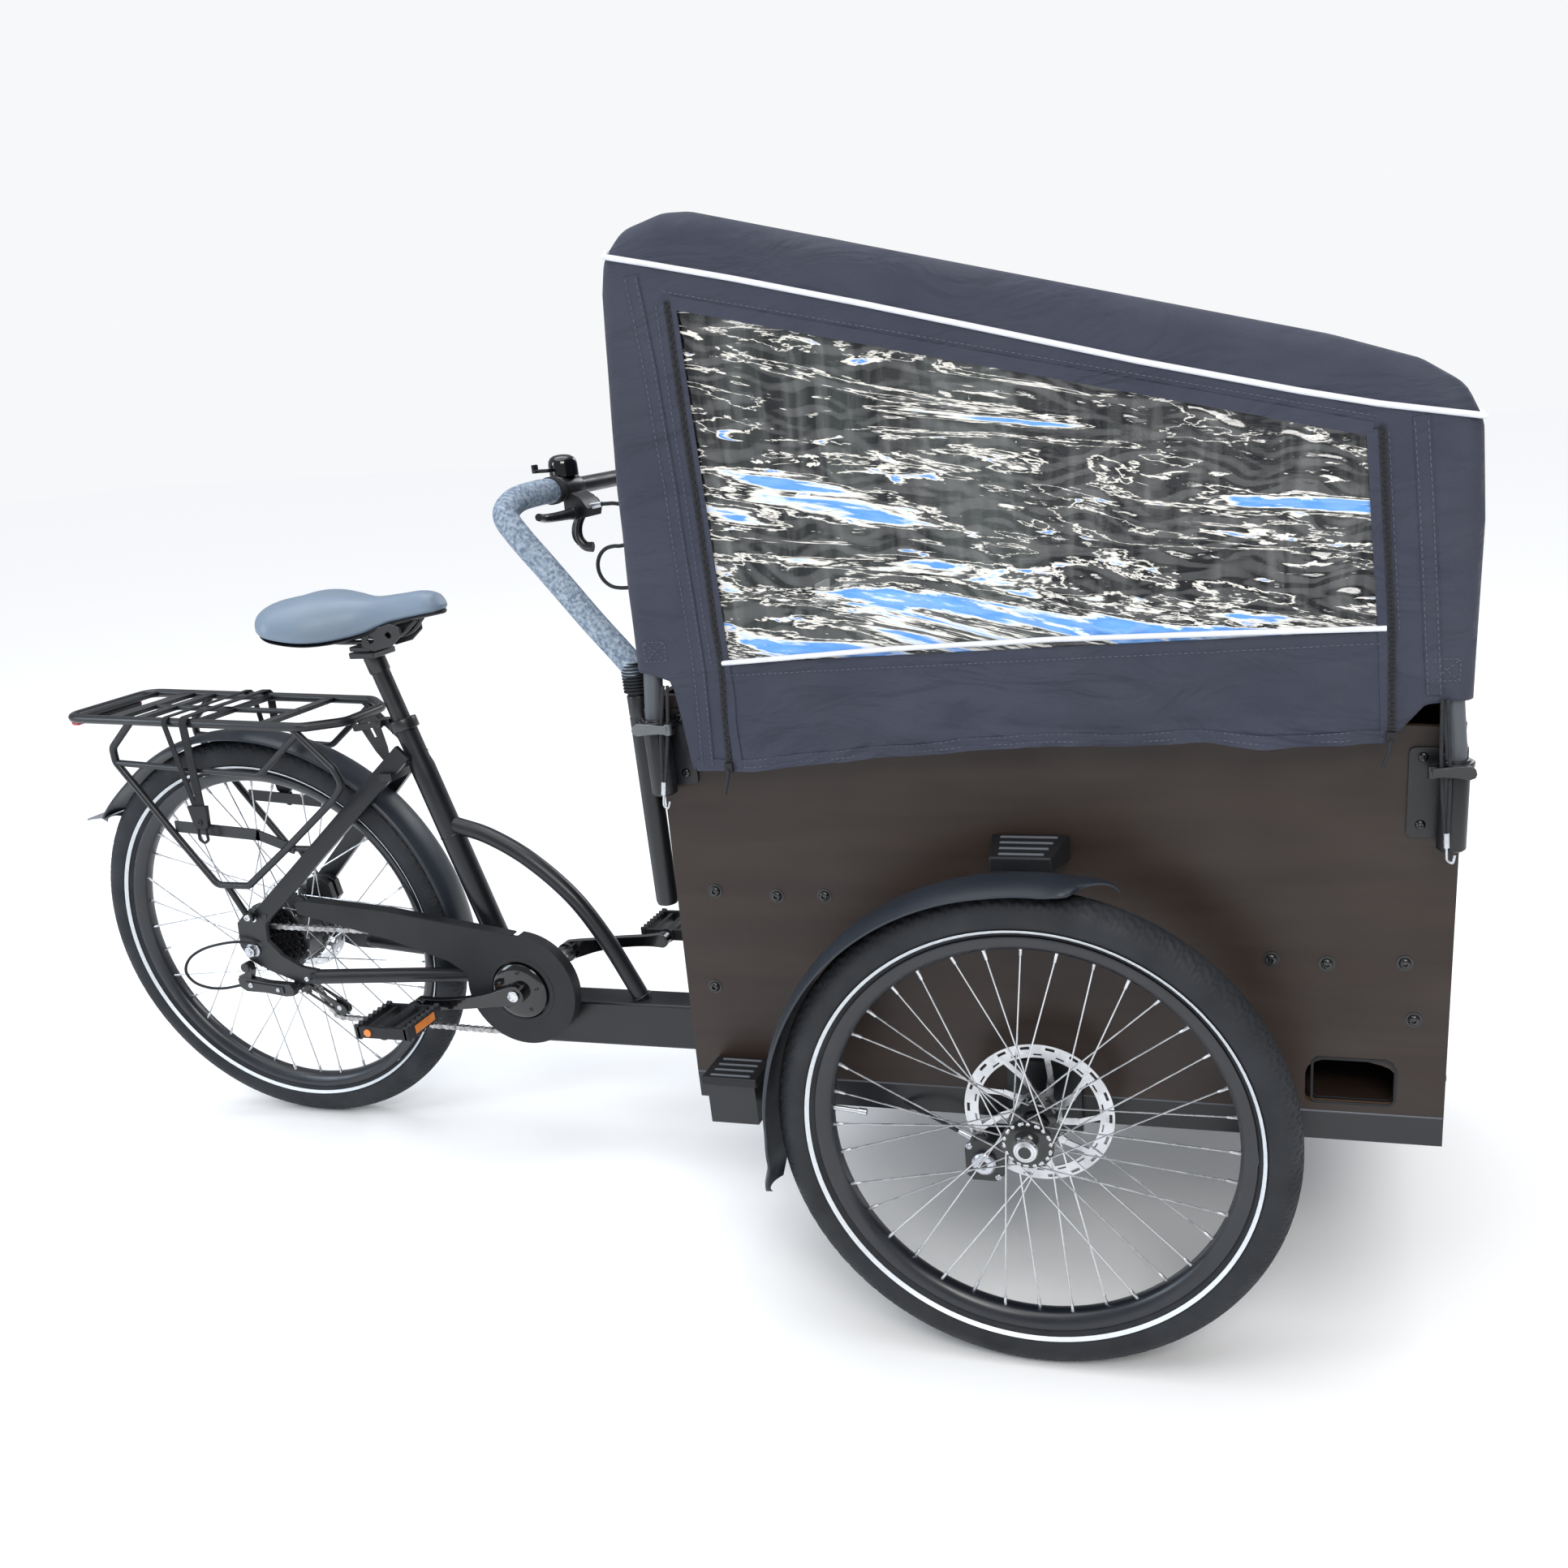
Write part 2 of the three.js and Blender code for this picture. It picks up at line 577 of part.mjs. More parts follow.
// ---------------------------------------------------------------- cranks and pedals
function crankEnd() {
  return [BB.x - CRANK_LENGTH * Math.cos(CRANK_ANGLE), BB.z - CRANK_LENGTH * Math.sin(CRANK_ANGLE)];
}

function crankArm([endX, endZ], cover) {
  const pieces = [
    disc(BB.x, BB.z, [-94, -72], 16, 16),
    bar([BB.x, -84, BB.z], [endX, -88, endZ], 11, 22),
    disc(endX, endZ, [-96, -80], 12, 12),
    disc(endX, endZ, [-186, -90], 4.5, 8),
  ];
  if (cover) pieces.push(disc(BB.x, BB.z, [-76, -71], 45, 28));
  return cut(join(...pieces), disc(BB.x, BB.z, [-90, -60], 8.4, 10));
}

function pedal(x, z) {
  const cage = block([x - 46, x + 46], [-190, -104], [z - 13, z + 13]);
  const windows = [[x - 37, x - 14], [x + 14, x + 37]].map(
    (range) => block(range, [-180, -114], [z - 20, z + 20]));
  return cut(cage, ...windows, disc(x, z, [-188, -90], 5, 10));
}

function buildDrive() {
  const [rightX, rightZ] = crankEnd();
  const leftX = 2 * BB.x - rightX;
  const leftZ = 2 * BB.z - rightZ;
  part('crank_spindle', disc(BB.x, BB.z, [-89, 89], 8, 10), STEEL);
  part('chainring', turned([[8.4, -57.2], [CHAINRING_RADIUS, -57.2], [CHAINRING_RADIUS, -54.8], [12, -54.8],
    [12, -52], [8.4, -52]], 30), BLACK_ALLOY, [BB.x, 0, BB.z]);
  part('crank_right', crankArm([rightX, rightZ], true), BLACK_ALLOY);
  part('crank_left', mirrored(crankArm([leftX, leftZ], false)), BLACK_ALLOY);
  part('pedal_right', pedal(rightX, rightZ), BLACK_PLASTIC);
  part('pedal_left', mirrored(pedal(leftX, leftZ)), BLACK_PLASTIC);
}

// ---------------------------------------------------------------- box
function sidePanel() {
  const handHole = new THREE.Path();
  handHole.moveTo(303, 320);
  handHole.lineTo(303, 352);
  handHole.quadraticCurveTo(305, 366, 320, 369);
  handHole.quadraticCurveTo(353, 377, 386, 366);
  handHole.quadraticCurveTo(402, 362, 403, 348);
  handHole.lineTo(403, 322);
  handHole.quadraticCurveTo(402, 314, 392, 314);
  handHole.lineTo(312, 314);
  handHole.quadraticCurveTo(304, 314, 303, 320);
  return plate(outline([
    [BOX.rear, BOX.bottom], [BOX.front, BOX.bottom], [BOX.front, BOX.frontTop],
    [BOX.rear + BOX.lean, BOX.rearTop],
  ], [handHole]), [-BOX.side, -BOX.side + PANEL], 3);
}

function endPanel(corners) {
  return plate(outline(corners), [-BOX.side + PANEL + GAP, BOX.side - PANEL - GAP]);
}

function baseFrame() {
  const top = BOX.bottom - GAP;
  const rails = cut(
    block([BOX.rear, BOX.front], [-BOX.side, BOX.side], [RAIL.bottom, top]),
    block([BOX.rear + RAIL.width, PIVOT_X - 45], [-BOX.side + RAIL.width, BOX.side - RAIL.width], [250, 320]),
    block([PIVOT_X + 45, -30], [-BOX.side + RAIL.width, BOX.side - RAIL.width], [250, 320]),
    block([30, BOX.front - RAIL.width], [-BOX.side + RAIL.width, BOX.side - RAIL.width], [250, 320]),
  );
  const axleSide = [
    block([-45, 45], [-328, -320.3], [256, 350]),
    block([-40, 40], [-325, -300], [270, 298]),
    rod([0, -322, FRONT_WHEEL.radius], [0, -437, FRONT_WHEEL.radius], 8.8, 12),
    lowerStep(),
  ];
  const housing = rod([PIVOT_X, 0, 251], [PIVOT_X, 0, top], 36, 20);
  return cut(
    join(rails, housing, ...axleSide, ...axleSide.map(mirrored)),
    rod([PIVOT_X, 0, 240], [PIVOT_X, 0, 299], 15.6, 16),
  );
}

function lowerStep() {
  return join(
    block([-423, -352], [-376, -BOX.side - GAP], [318, 326]),
    block([-419, -356], [-372, -BOX.side - GAP], [262, 320]),
    block([-412, -363], [-325, -300], [270, 298]),
  );
}

// A step that narrows and thins away from the box; each rectangle is [x0, x1, z0, z1].
function upperStep() {
  const atBox = [-48, 42, 604, 635];
  const atTip = [-40, 30, 610, 627];
  const geometry = new THREE.BoxGeometry(2, 2, 2);
  const position = geometry.attributes.position;
  for (let i = 0; i < position.count; i += 1) {
    const tip = position.getY(i) < 0;
    const [x0, x1, z0, z1] = tip ? atTip : atBox;
    const x = position.getX(i) < 0 ? x0 : x1;
    const z = position.getZ(i) < 0 ? z0 : z1;
    position.setXYZ(i, x, tip ? -377 : -BOX.side - GAP, z);
  }
  return geometry;
}

// A seat board on an L-shaped cleat at each end.
function bench([x0, x1], z, post) {
  const cleat = (sign) => {
    const ys = sign < 0 ? [-309, -291] : [291, 309];
    return [block([x0 + 4, x1 - 4], ys, [z - 30, z - 5]), block(post, ys, [z - 155, z - 5])];
  };
  return join(block([x0, x1], [-309, 309], [z - 6, z + 6]), ...cleat(-1), ...cleat(1));
}

function frontCaliper() {
  return caliper(
    block([-92, -40], [-381, -347], [214, 268]),
    block([-84, -44], [-350, -328.4], [236, 262]),
    FRONT_WHEEL, 93, [-368.6, -363.4]);
}

function frontFender() {
  const centre = { x: FRONT_WHEEL.x, z: FRONT_WHEEL.radius };
  const strip = fender(centre, [
    [70, 329], [76, 323], [84, 320], [100, 318], [116, 318], [132, 318], [148, 318], [164, 319], [180, 321],
    [188, 324], [196, 344],
  ], -FRONT_WHEEL.y, FENDER_HALF, 20);
  const [x, z] = polar(centre, 318, FENDER_STRUT.degrees);
  const strut = new THREE.BoxGeometry(FENDER_STRUT.width, FENDER_STRUT.reach, FENDER_STRUT.thickness)
    .rotateY(THREE.MathUtils.degToRad(90 - FENDER_STRUT.degrees))
    .translate(x, -BOX.side - GAP - FENDER_STRUT.reach / 2, z);
  const edge = FENDER_HALF - FRONT_WHEEL.y;
  const underStep = join(
    block([-21, -1], [edge - 3.2, -BOX.side - GAP], [600, 603]),
    block([-21, -1], [edge - 3.2, edge], [600, 617]),
  );
  return join(strip, strut, underStep);
}

function buildBox() {
  pair('box_side', sidePanel(), PLYWOOD);
  part('box_front', endPanel([
    [BOX.front - PANEL, BOX.bottom], [BOX.front, BOX.bottom], [BOX.front, BOX.frontTop],
    [BOX.front - PANEL, BOX.frontTop],
  ]), PLYWOOD);
  part('box_rear', endPanel([
    [BOX.rear, BOX.bottom], [BOX.rear + PANEL, BOX.bottom],
    [BOX.rear + PANEL + BOX.lean, BOX.rearTop - 1], [BOX.rear + BOX.lean, BOX.rearTop - 1],
  ]), PLYWOOD);
  part('box_floor', block([BOX.rear + PANEL + 1, BOX.front - PANEL - GAP], [-309.7, 309.7],
    [BOX.bottom, BOX.bottom + 12]), PLYWOOD);
  part('base_frame', baseFrame(), PAINT);
  part('bench_rear', bench([-440, -235], 552, [-430, -404]), PLYWOOD);
  part('bench_front', bench([245, 444], 491, [404, 432]), PLYWOOD);
  pair('upper_step', upperStep(), BLACK_PLASTIC);
  pair('front_caliper', frontCaliper(), BLACK_ALLOY);
  pair('front_fender', frontFender(), FENDER_PLASTIC);
}

// ---------------------------------------------------------------- corner brackets and clamps
// Side plate, end plate and a pole socket with its clamp collar; the rear ones also carry a handlebar tube.
function cornerBracket(x, inward, [low, high], legTube) {
  const edge = x > 0 ? BOX.front + 3.6 : BOX.rear - 3;
  const span = (a, b) => [Math.min(a, b), Math.max(a, b)];
  const pieces = [
    block(span(edge, edge + inward * 58), [-323.5, -320.3], [low + 8, high + 8]),
    block(span(edge, edge + inward * 3.2), [-323.5, -262], [low + 8, high + 8]),
    block(span(edge, x), [-332, -320.3], [low, high - 4]),
    rod([x, -SOCKET.y, low], [x, -SOCKET.y, high], SOCKET.outer, 14),
    rod([x, -SOCKET.y, high - 16], [x, -SOCKET.y, high - 2], SOCKET.outer + 4, 14),
    block(span(x, x + inward * 26), [-SOCKET.y - 13, -SOCKET.y], [high - 16, high - 2]),
  ];
  const bores = [
    block([BOX.rear + 0.2, BOX.front + GAP], [-BOX.side - GAP, -200], [500, 900]),
    rod([x, -SOCKET.y, low + 6], [x, -SOCKET.y, high + 20], SOCKET.bore, 14),
  ];
  if (legTube) {
    pieces.push(rod([BAR.legX, -BAR.legY, 527], [BAR.legX, -BAR.legY, 796], BAR.sleeve, 12));
    pieces.push(block([BAR.legX, edge + 2], [-310, -290], [low + 12, high]));
    bores.push(rod([BAR.legX, -BAR.legY, 535], [BAR.legX, -BAR.legY, 820], BAR.radius + 0.6, 12));
  }
  return cut(join(...pieces), ...bores);
}

function clampLever(pivotX, outward, z) {
  const y = -SOCKET.y - 21.6;
  return join(
    rod([pivotX, y + 2.8, z - 6], [pivotX, y + 2.8, z + 6], 4.4, 10),
    bar([pivotX, y, z], [pivotX + outward * 42, y - 3, z + 2], 4, 12),
  );
}

function buildCorners() {
  pair('rear_bracket', cornerBracket(SOCKET.rearX, 1, [684, 776], true), PAINT);
  pair('front_bracket', cornerBracket(SOCKET.frontX, -1, [632, 730], false), PAINT);
  pair('rear_clamp_lever', clampLever(SOCKET.rearX + 24, -1, 767), ALLOY);
  pair('front_clamp_lever', clampLever(SOCKET.frontX - 24, 1, 721), BLACK_ALLOY);
}

// ---------------------------------------------------------------- handlebar
function handlebar() {
  const y = BAR.legY;
  const arm = [
    [BAR.legX, -y, 800], [BAR.legX - 5, -y, 831], [-519, -y, 880], [-565, -y, 943], [-602, -y, 990],
    [-619, -y + 5, 1012], [-617, -y + 32, 1026], [BAR.x - 4, -y + 66, BAR.z], [BAR.x, -BAR.gripEnd, BAR.z],
  ];
  const grip = tube(arm, BAR.grip, 8);
  const leg = rod([BAR.legX, -y, 590], [BAR.legX, -y, 804], BAR.radius, 10);
  const mount = join(
    disc(BAR.x, BAR.z, [-196, -150], 15.5, 12),
    block([BAR.x + 4, BAR.x + 34], [-190, -150], [BAR.z - 34, BAR.z - 6]),
  );
  const bell = join(
    rod([BAR.x, -172, BAR.z + 8], [BAR.x, -172, BAR.z + 20], 7, 8),
    rod([BAR.x, -172, BAR.z + 16], [BAR.x, -172, BAR.z + 36], 17, 14),
  );
  return join(
    rod([BAR.x, -BAR.gripEnd - 4, BAR.z], [BAR.x, BAR.gripEnd + 4, BAR.z], BAR.radius, 10),
    grip, mirrored(grip), leg, mirrored(leg), mount, mirrored(mount), bell,
  );
}

function brakeLever() {
  const z = BAR.z - 26;
  return join(
    rod([BAR.x + 20, -206, z - 3], [BAR.x + 20, -194, z - 3], 7, 8),
    bar([BAR.x + 20, -198, z - 3], [BAR.x + 16, -228, z - 3], 10, 12),
    bar([BAR.x + 16, -226, z - 3], [BAR.x + 13, -270, z - 1], 12, 8),
  );
}

function buildHandlebar() {
  part('handlebar', handlebar(), BLACK_ALLOY);
  pair('brake_lever', brakeLever(), BLACK_ALLOY);
  part('shift_lever', join(
    rod([BAR.x + 20, -144, BAR.z - 22], [BAR.x + 20, -149.6, BAR.z - 22], 9, 12),
    bar([BAR.x + 20, -147, BAR.z - 22], [BAR.x - 14, -145, BAR.z - 30], 5, 10),
  ), BLACK_PLASTIC);
  part('bell_lever', join(
    block([BAR.x - 22, BAR.x - 6], [-200, -189.6], [BAR.z + 20, BAR.z + 26]),
    block([BAR.x - 26, BAR.x - 20], [-204, -190], [BAR.z + 20, BAR.z + 32]),
  ), BLACK_PLASTIC);
}

// ---------------------------------------------------------------- canopy
const CANOPY_PROFILE = [
  [-454, 720], [-451, 860], [-446, 1040], [-432, 1236], [-424, 1270], [-400, 1296], [-352, 1309],
  [-325, 1308], [312, 1146], [395, 1119], [436, 1094], [454, 1060], [460, 968], [459, 720],
];

function canopySide() {
  return [
    [-470, 834], [-404, 822], [-394, 719], [-346, 716], [28, 738], [366, 748], [412, 792], [470, 794],
    [470, 1400], [-470, 1400],
  ];
}

function canopyCover() {
  const centre = [0, 1000];
  const shrink = ([x, z]) => {
    const reach = Math.hypot(x - centre[0], z - centre[1]);
    const factor = 1 - (CANOPY_SKIN * 1.15) / reach;
    return [centre[0] + (x - centre[0]) * factor, centre[1] + (z - centre[1]) * factor];
  };
  const inner = CANOPY_PROFILE.map(shrink);
  inner[0] = [CANOPY_PROFILE[0][0] + CANOPY_SKIN, 700];
  inner[inner.length - 1] = [CANOPY_PROFILE[CANOPY_PROFILE.length - 1][0] - CANOPY_SKIN, 700];
  const shell = cut(
    plate(outline(CANOPY_PROFILE), [-CANOPY_SIDE, CANOPY_SIDE]),
    plate(outline(inner), [-CANOPY_SIDE + CANOPY_SKIN, CANOPY_SIDE - CANOPY_SKIN]),
  );
  const below = block([-500, 500], [-400, 400], [690, 900]);
  const hemTools = cut(below, plate(outline(canopySide()), [-401, 401]));
  return cut(shell, hemTools);
}

function canopyFrame() {
  const y = SOCKET.y;
  const side = [
    [SOCKET.rearX, -y, 692], [SOCKET.rearX, -y, 780], [-433, -y, 835], [-410, -y, 1246], [-345, -y, 1288],
    [305, -y, 1129], [432, -y, 1066], [SOCKET.frontX - 6, -y, 800], [SOCKET.frontX, -y, 738],
    [SOCKET.frontX, -y, 640],
  ];
  const run = tube(side, POLE_RADIUS, 8);
  const across = [[-345, 1288], [305, 1129], [-411, 1240], [431, 1062]]
    .map(([x, z]) => rod([x, -y, z], [x, y, z], 8, 6));
  return join(run, mirrored(run), ...across);
}

function buildCanopy() {
  part('canopy_cover', canopyCover(), CANVAS);
  part('canopy_frame', canopyFrame(), POLE_GREY);
}

buildWheels();
buildRearFrame();
buildSeat();
buildDrive();
buildBox();
buildCorners();
buildHandlebar();
buildCanopy();

export default bicycle;
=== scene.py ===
"""Looks for a front-box cargo tricycle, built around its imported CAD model."""
import math

import bmesh
import bpy
from mathutils import Matrix, Vector, noise
from mathutils.geometry import tessellate_polygon


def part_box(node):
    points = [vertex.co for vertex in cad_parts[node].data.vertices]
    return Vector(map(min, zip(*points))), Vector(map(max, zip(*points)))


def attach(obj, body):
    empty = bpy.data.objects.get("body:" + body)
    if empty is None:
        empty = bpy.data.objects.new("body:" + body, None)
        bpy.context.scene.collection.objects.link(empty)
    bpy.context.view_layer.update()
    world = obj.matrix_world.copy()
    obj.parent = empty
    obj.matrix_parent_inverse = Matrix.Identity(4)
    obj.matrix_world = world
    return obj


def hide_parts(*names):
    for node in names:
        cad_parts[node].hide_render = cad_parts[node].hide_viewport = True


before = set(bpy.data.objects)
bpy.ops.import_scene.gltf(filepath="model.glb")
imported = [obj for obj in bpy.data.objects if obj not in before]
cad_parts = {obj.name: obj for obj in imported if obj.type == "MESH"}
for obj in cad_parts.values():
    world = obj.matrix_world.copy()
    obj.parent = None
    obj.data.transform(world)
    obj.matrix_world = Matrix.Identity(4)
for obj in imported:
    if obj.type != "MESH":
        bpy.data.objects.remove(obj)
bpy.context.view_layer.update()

# Places below are in millimetres from the line of the front axle, X forwards, Y left, Z up.
MM = 0.001
WHEEL_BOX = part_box("front_tyre_right")
FRONT_AXLE_X = (WHEEL_BOX[0].x + WHEEL_BOX[1].x) / 2
FRONT_RADIUS = (WHEEL_BOX[1].z - WHEEL_BOX[0].z) * 500
FRONT_TRACK = -(WHEEL_BOX[0].y + WHEEL_BOX[1].y) * 500
REAR_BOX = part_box("rear_tyre")
REAR_RADIUS = (REAR_BOX[1].z - REAR_BOX[0].z) * 500
REAR_AXLE_X = ((REAR_BOX[0].x + REAR_BOX[1].x) / 2 - FRONT_AXLE_X) * 1000
BB = (-865.0, 278.0)
CRANK_LENGTH = 170.0
CRANK_ANGLE = math.radians(8)
CHAIN_Y = -56.0
CHAIN_PITCH = 12.7
CHAINRING_TIP = 79.5
SEAT_FOOT = Vector((-921, 0, 283))
SEAT_AXIS = Vector((-0.271, 0, 1)).normalized()
BOX_SIDE = 320.0
BEAD_Y = 319.3485
LEG_X = -475.0
LEG_Y = 300.0
SOCKET_Y = 336.0
CANOPY_Y = 350.0
FILM_TILT = math.radians(9)


# ---------------------------------------------------------------- camera, light and floor
def put_in_scene(name, data):
    holder = bpy.data.objects.new(name, data)
    bpy.context.scene.collection.objects.link(holder)
    return holder


# The camera's turn from square to the right side, its tilt down and its roll, in degrees; where it stands, in
# metres from the front axle; and its lens and shift.
CAMERA_TURN, CAMERA_TILT, CAMERA_ROLL = 15.2, 19.02, -4.0
CAMERA_PLACE = (0.2944, -1.7632, 1.1420)
CAMERA_LENS, CAMERA_SENSOR, CAMERA_SHIFT = 31.55, 36, (-0.1059, 0.0355)

# Lamps: name, place, target, size, watts and colour.
LAMPS = (
    ("key", (1.8, -3.6, 3.4), (0.1, 0, 0.6), (2.2, 1.2), 95, (1.0, 0.98, 0.95)),
    ("sky", (-0.4, 0.6, 4.2), (0, 0, 0.5), (3.6, 1.6), 40, (0.8, 0.89, 1.0)),
    ("left", (-3.6, -2.4, 1.9), (-0.4, 0, 0.6), (0.9, 2.0), 50, (0.75, 0.87, 1.0)),
    ("behind", (1.6, 3.8, 2.6), (0, 0, 0.7), (2.6, 1.2), 50, (0.95, 0.97, 1.0)),
)


def camera():
    azimuth, elevation, roll = (math.radians(a) for a in (CAMERA_TURN, CAMERA_TILT, CAMERA_ROLL))
    right = Vector((math.cos(azimuth), math.sin(azimuth), 0))
    ahead = Vector((-math.sin(azimuth) * math.cos(elevation), math.cos(azimuth) * math.cos(elevation),
                    -math.sin(elevation)))
    up = right.cross(ahead)
    turned_right = right * math.cos(roll) + up * math.sin(roll)
    turned_up = up * math.cos(roll) - right * math.sin(roll)
    data = bpy.data.cameras.new("camera")
    data.sensor_width = CAMERA_SENSOR
    data.lens = CAMERA_LENS
    data.shift_x, data.shift_y = CAMERA_SHIFT
    holder = put_in_scene("camera", data)
    basis = Matrix((turned_right, turned_up, -ahead)).transposed().to_4x4()
    place = Vector(CAMERA_PLACE) + Vector((FRONT_AXLE_X, 0, 0))
    holder.matrix_world = Matrix.Translation(place) @ basis
    bpy.context.scene.camera = holder


def lamp(name, place, target, size, watts, colour):
    data = bpy.data.lights.new(name, "AREA")
    data.shape = "RECTANGLE"
    data.size, data.size_y = size
    data.energy = watts
    data.color = colour
    holder = put_in_scene(name, data)
    holder.location = place
    holder.rotation_euler = (Vector(target) - Vector(place)).to_track_quat("-Z", "Y").to_euler()


def studio():
    """Soft lamps, a pale surround that the camera sees and a dimmer one that lights, and a pale floor."""
    world = bpy.data.worlds.new("studio")
    bpy.context.scene.world = world
    world.use_nodes = True
    tree = world.node_tree
    back = tree.nodes["Background"]
    back.inputs["Color"].default_value = (0.92, 0.95, 1.0, 1)
    back.inputs["Strength"].default_value = 0.42
    seen = tree.nodes.new("ShaderNodeBackground")
    seen.inputs["Color"].default_value = (0.93, 0.94, 0.95, 1)
    ray = tree.nodes.new("ShaderNodeLightPath")
    choice = tree.nodes.new("ShaderNodeMixShader")
    tree.links.new(ray.outputs["Is Camera Ray"], choice.inputs[0])
    tree.links.new(back.outputs["Background"], choice.inputs[1])
    tree.links.new(seen.outputs["Background"], choice.inputs[2])
    tree.links.new(choice.outputs["Shader"], tree.nodes["World Output"].inputs["Surface"])
    bpy.context.scene.view_settings.view_transform = "Standard"
    for row in LAMPS:
        lamp(*row)
    overhead = bpy.data.lights.new("overhead", "SUN")
    overhead.energy = 2.0
    overhead.angle = 1.2
    put_in_scene("overhead", overhead).rotation_euler = (0.12, -0.1, 0)
    bpy.ops.mesh.primitive_plane_add(size=40, location=(0, 0, -0.0015))
    floor = bpy.context.object
    floor.name = "floor"
    pale = bpy.data.materials.new("floor")
    pale.use_nodes = True
    shader = pale.node_tree.nodes["Principled BSDF"]
    shader.inputs["Base Color"].default_value = (0.93, 0.935, 0.94, 1)
    shader.inputs["Roughness"].default_value = 0.85
    floor.data.materials.append(pale)


# ---------------------------------------------------------------- materials
class Surface:
    """A Principled material with helpers for the procedural detail that it needs."""

    def __init__(self, name, colour, roughness, metallic=0.0, **sockets):
        self.name = name
        self.material = bpy.data.materials.new(f"look_{name}")
        self.material.use_nodes = True
        self.tree = self.material.node_tree
        self.shader = self.tree.nodes["Principled BSDF"]
        self.colour = colour
        self.shader.inputs["Base Color"].default_value = (*colour, 1)
        self.shader.inputs["Roughness"].default_value = roughness
        self.shader.inputs["Metallic"].default_value = metallic
        for socket, value in sockets.items():
            self.shader.inputs[socket.replace("_", " ")].default_value = value
        self.heights = []

    def node(self, kind, **settings):
        made = self.tree.nodes.new(kind)
        for key, value in settings.items():
            setattr(made, key, value)
        return made

    def link(self, output, socket):
        self.tree.links.new(output, socket)

    def place(self, scale=(1, 1, 1), turn=0.0):
        """Object coordinates, turned about Y and then stretched."""
        coordinates = self.node("ShaderNodeTexCoord")
        mapping = self.node("ShaderNodeMapping", vector_type="TEXTURE")
        mapping.inputs["Scale"].default_value = tuple(1 / s for s in scale)
        mapping.inputs["Rotation"].default_value = (0, turn, 0)
        self.link(coordinates.outputs["Object"], mapping.inputs["Vector"])
        return mapping.outputs["Vector"]

    def noise(self, scale, detail=4.0, stretch=(1, 1, 1), distortion=0.0, roughness=0.5, turn=0.0):
        made = self.node("ShaderNodeTexNoise")
        made.inputs["Scale"].default_value = scale
        made.inputs["Detail"].default_value = detail
        made.inputs["Roughness"].default_value = roughness
        made.inputs["Distortion"].default_value = distortion
        self.link(self.place(stretch, turn), made.inputs["Vector"])
        return made.outputs["Fac"]

    def voronoi(self, scale):
        made = self.node("ShaderNodeTexVoronoi")
        made.inputs["Scale"].default_value = scale
        self.link(self.place(), made.inputs["Vector"])
        return made.outputs["Distance"]

    def wave(self, scale, direction="X", distortion=0.0):
        made = self.node("ShaderNodeTexWave", bands_direction=direction)
        made.inputs["Scale"].default_value = scale
        made.inputs["Distortion"].default_value = distortion
        self.link(self.place(), made.inputs["Vector"])
        return made.outputs["Fac"]

    def ramp(self, value, stops):
        """stops are (position, colour) pairs, a colour being three numbers or one."""
        made = self.node("ShaderNodeValToRGB")
        ramp = made.color_ramp
        while len(ramp.elements) < len(stops):
            ramp.elements.new(0.5)
        for element, (position, colour) in zip(ramp.elements, stops):
            element.position = position
            shade = (colour,) * 3 if isinstance(colour, (int, float)) else colour
            element.color = (*shade, 1)
        self.link(value, made.inputs["Fac"])
        return made.outputs["Color"]

    def mix(self, factor, low, high):
        """Colour low where factor is 0 and high where it is 1."""
        made = self.node("ShaderNodeMix", data_type="RGBA")
        for name, value in (("Factor", factor), ("A", low), ("B", high)):
            socket = next(i for i in made.inputs if i.name == name and i.enabled)
            self.link(value, socket)
        return next(o for o in made.outputs if o.enabled)

    def tint(self, value, dark, light, low=0.3, high=0.7):
        """Colours the base between two shades as value goes from low to high."""
        self.link(self.ramp(value, [(low, dark), (high, light)]), self.shader.inputs["Base Color"])
        return self

    def shades(self, amount, scale):
        """Slow unevenness of the base colour by the given share."""
        dark, light = (tuple(min(1, c * (1 + sign * amount)) for c in self.colour) for sign in (-1, 1))
        return self.tint(self.noise(scale, 5.0), dark, light)

    def gloss(self, low, high, scale=9.0, stretch=(1, 1, 1)):
        """Roughness that drifts between low and high."""
        value = self.ramp(self.noise(scale, 6.0, stretch), [(0.3, low), (0.7, high)])
        self.link(value, self.shader.inputs["Roughness"])
        return self

    def bump(self, value, distance, strength=1.0):
        made = self.node("ShaderNodeBump")
        made.inputs["Distance"].default_value = distance
        made.inputs["Strength"].default_value = strength
        self.link(value, made.inputs["Height"])
        if self.heights:
            self.link(self.heights[-1], made.inputs["Normal"])
        self.heights.append(made.outputs["Normal"])
        self.link(made.outputs["Normal"], self.shader.inputs["Normal"])
        return self


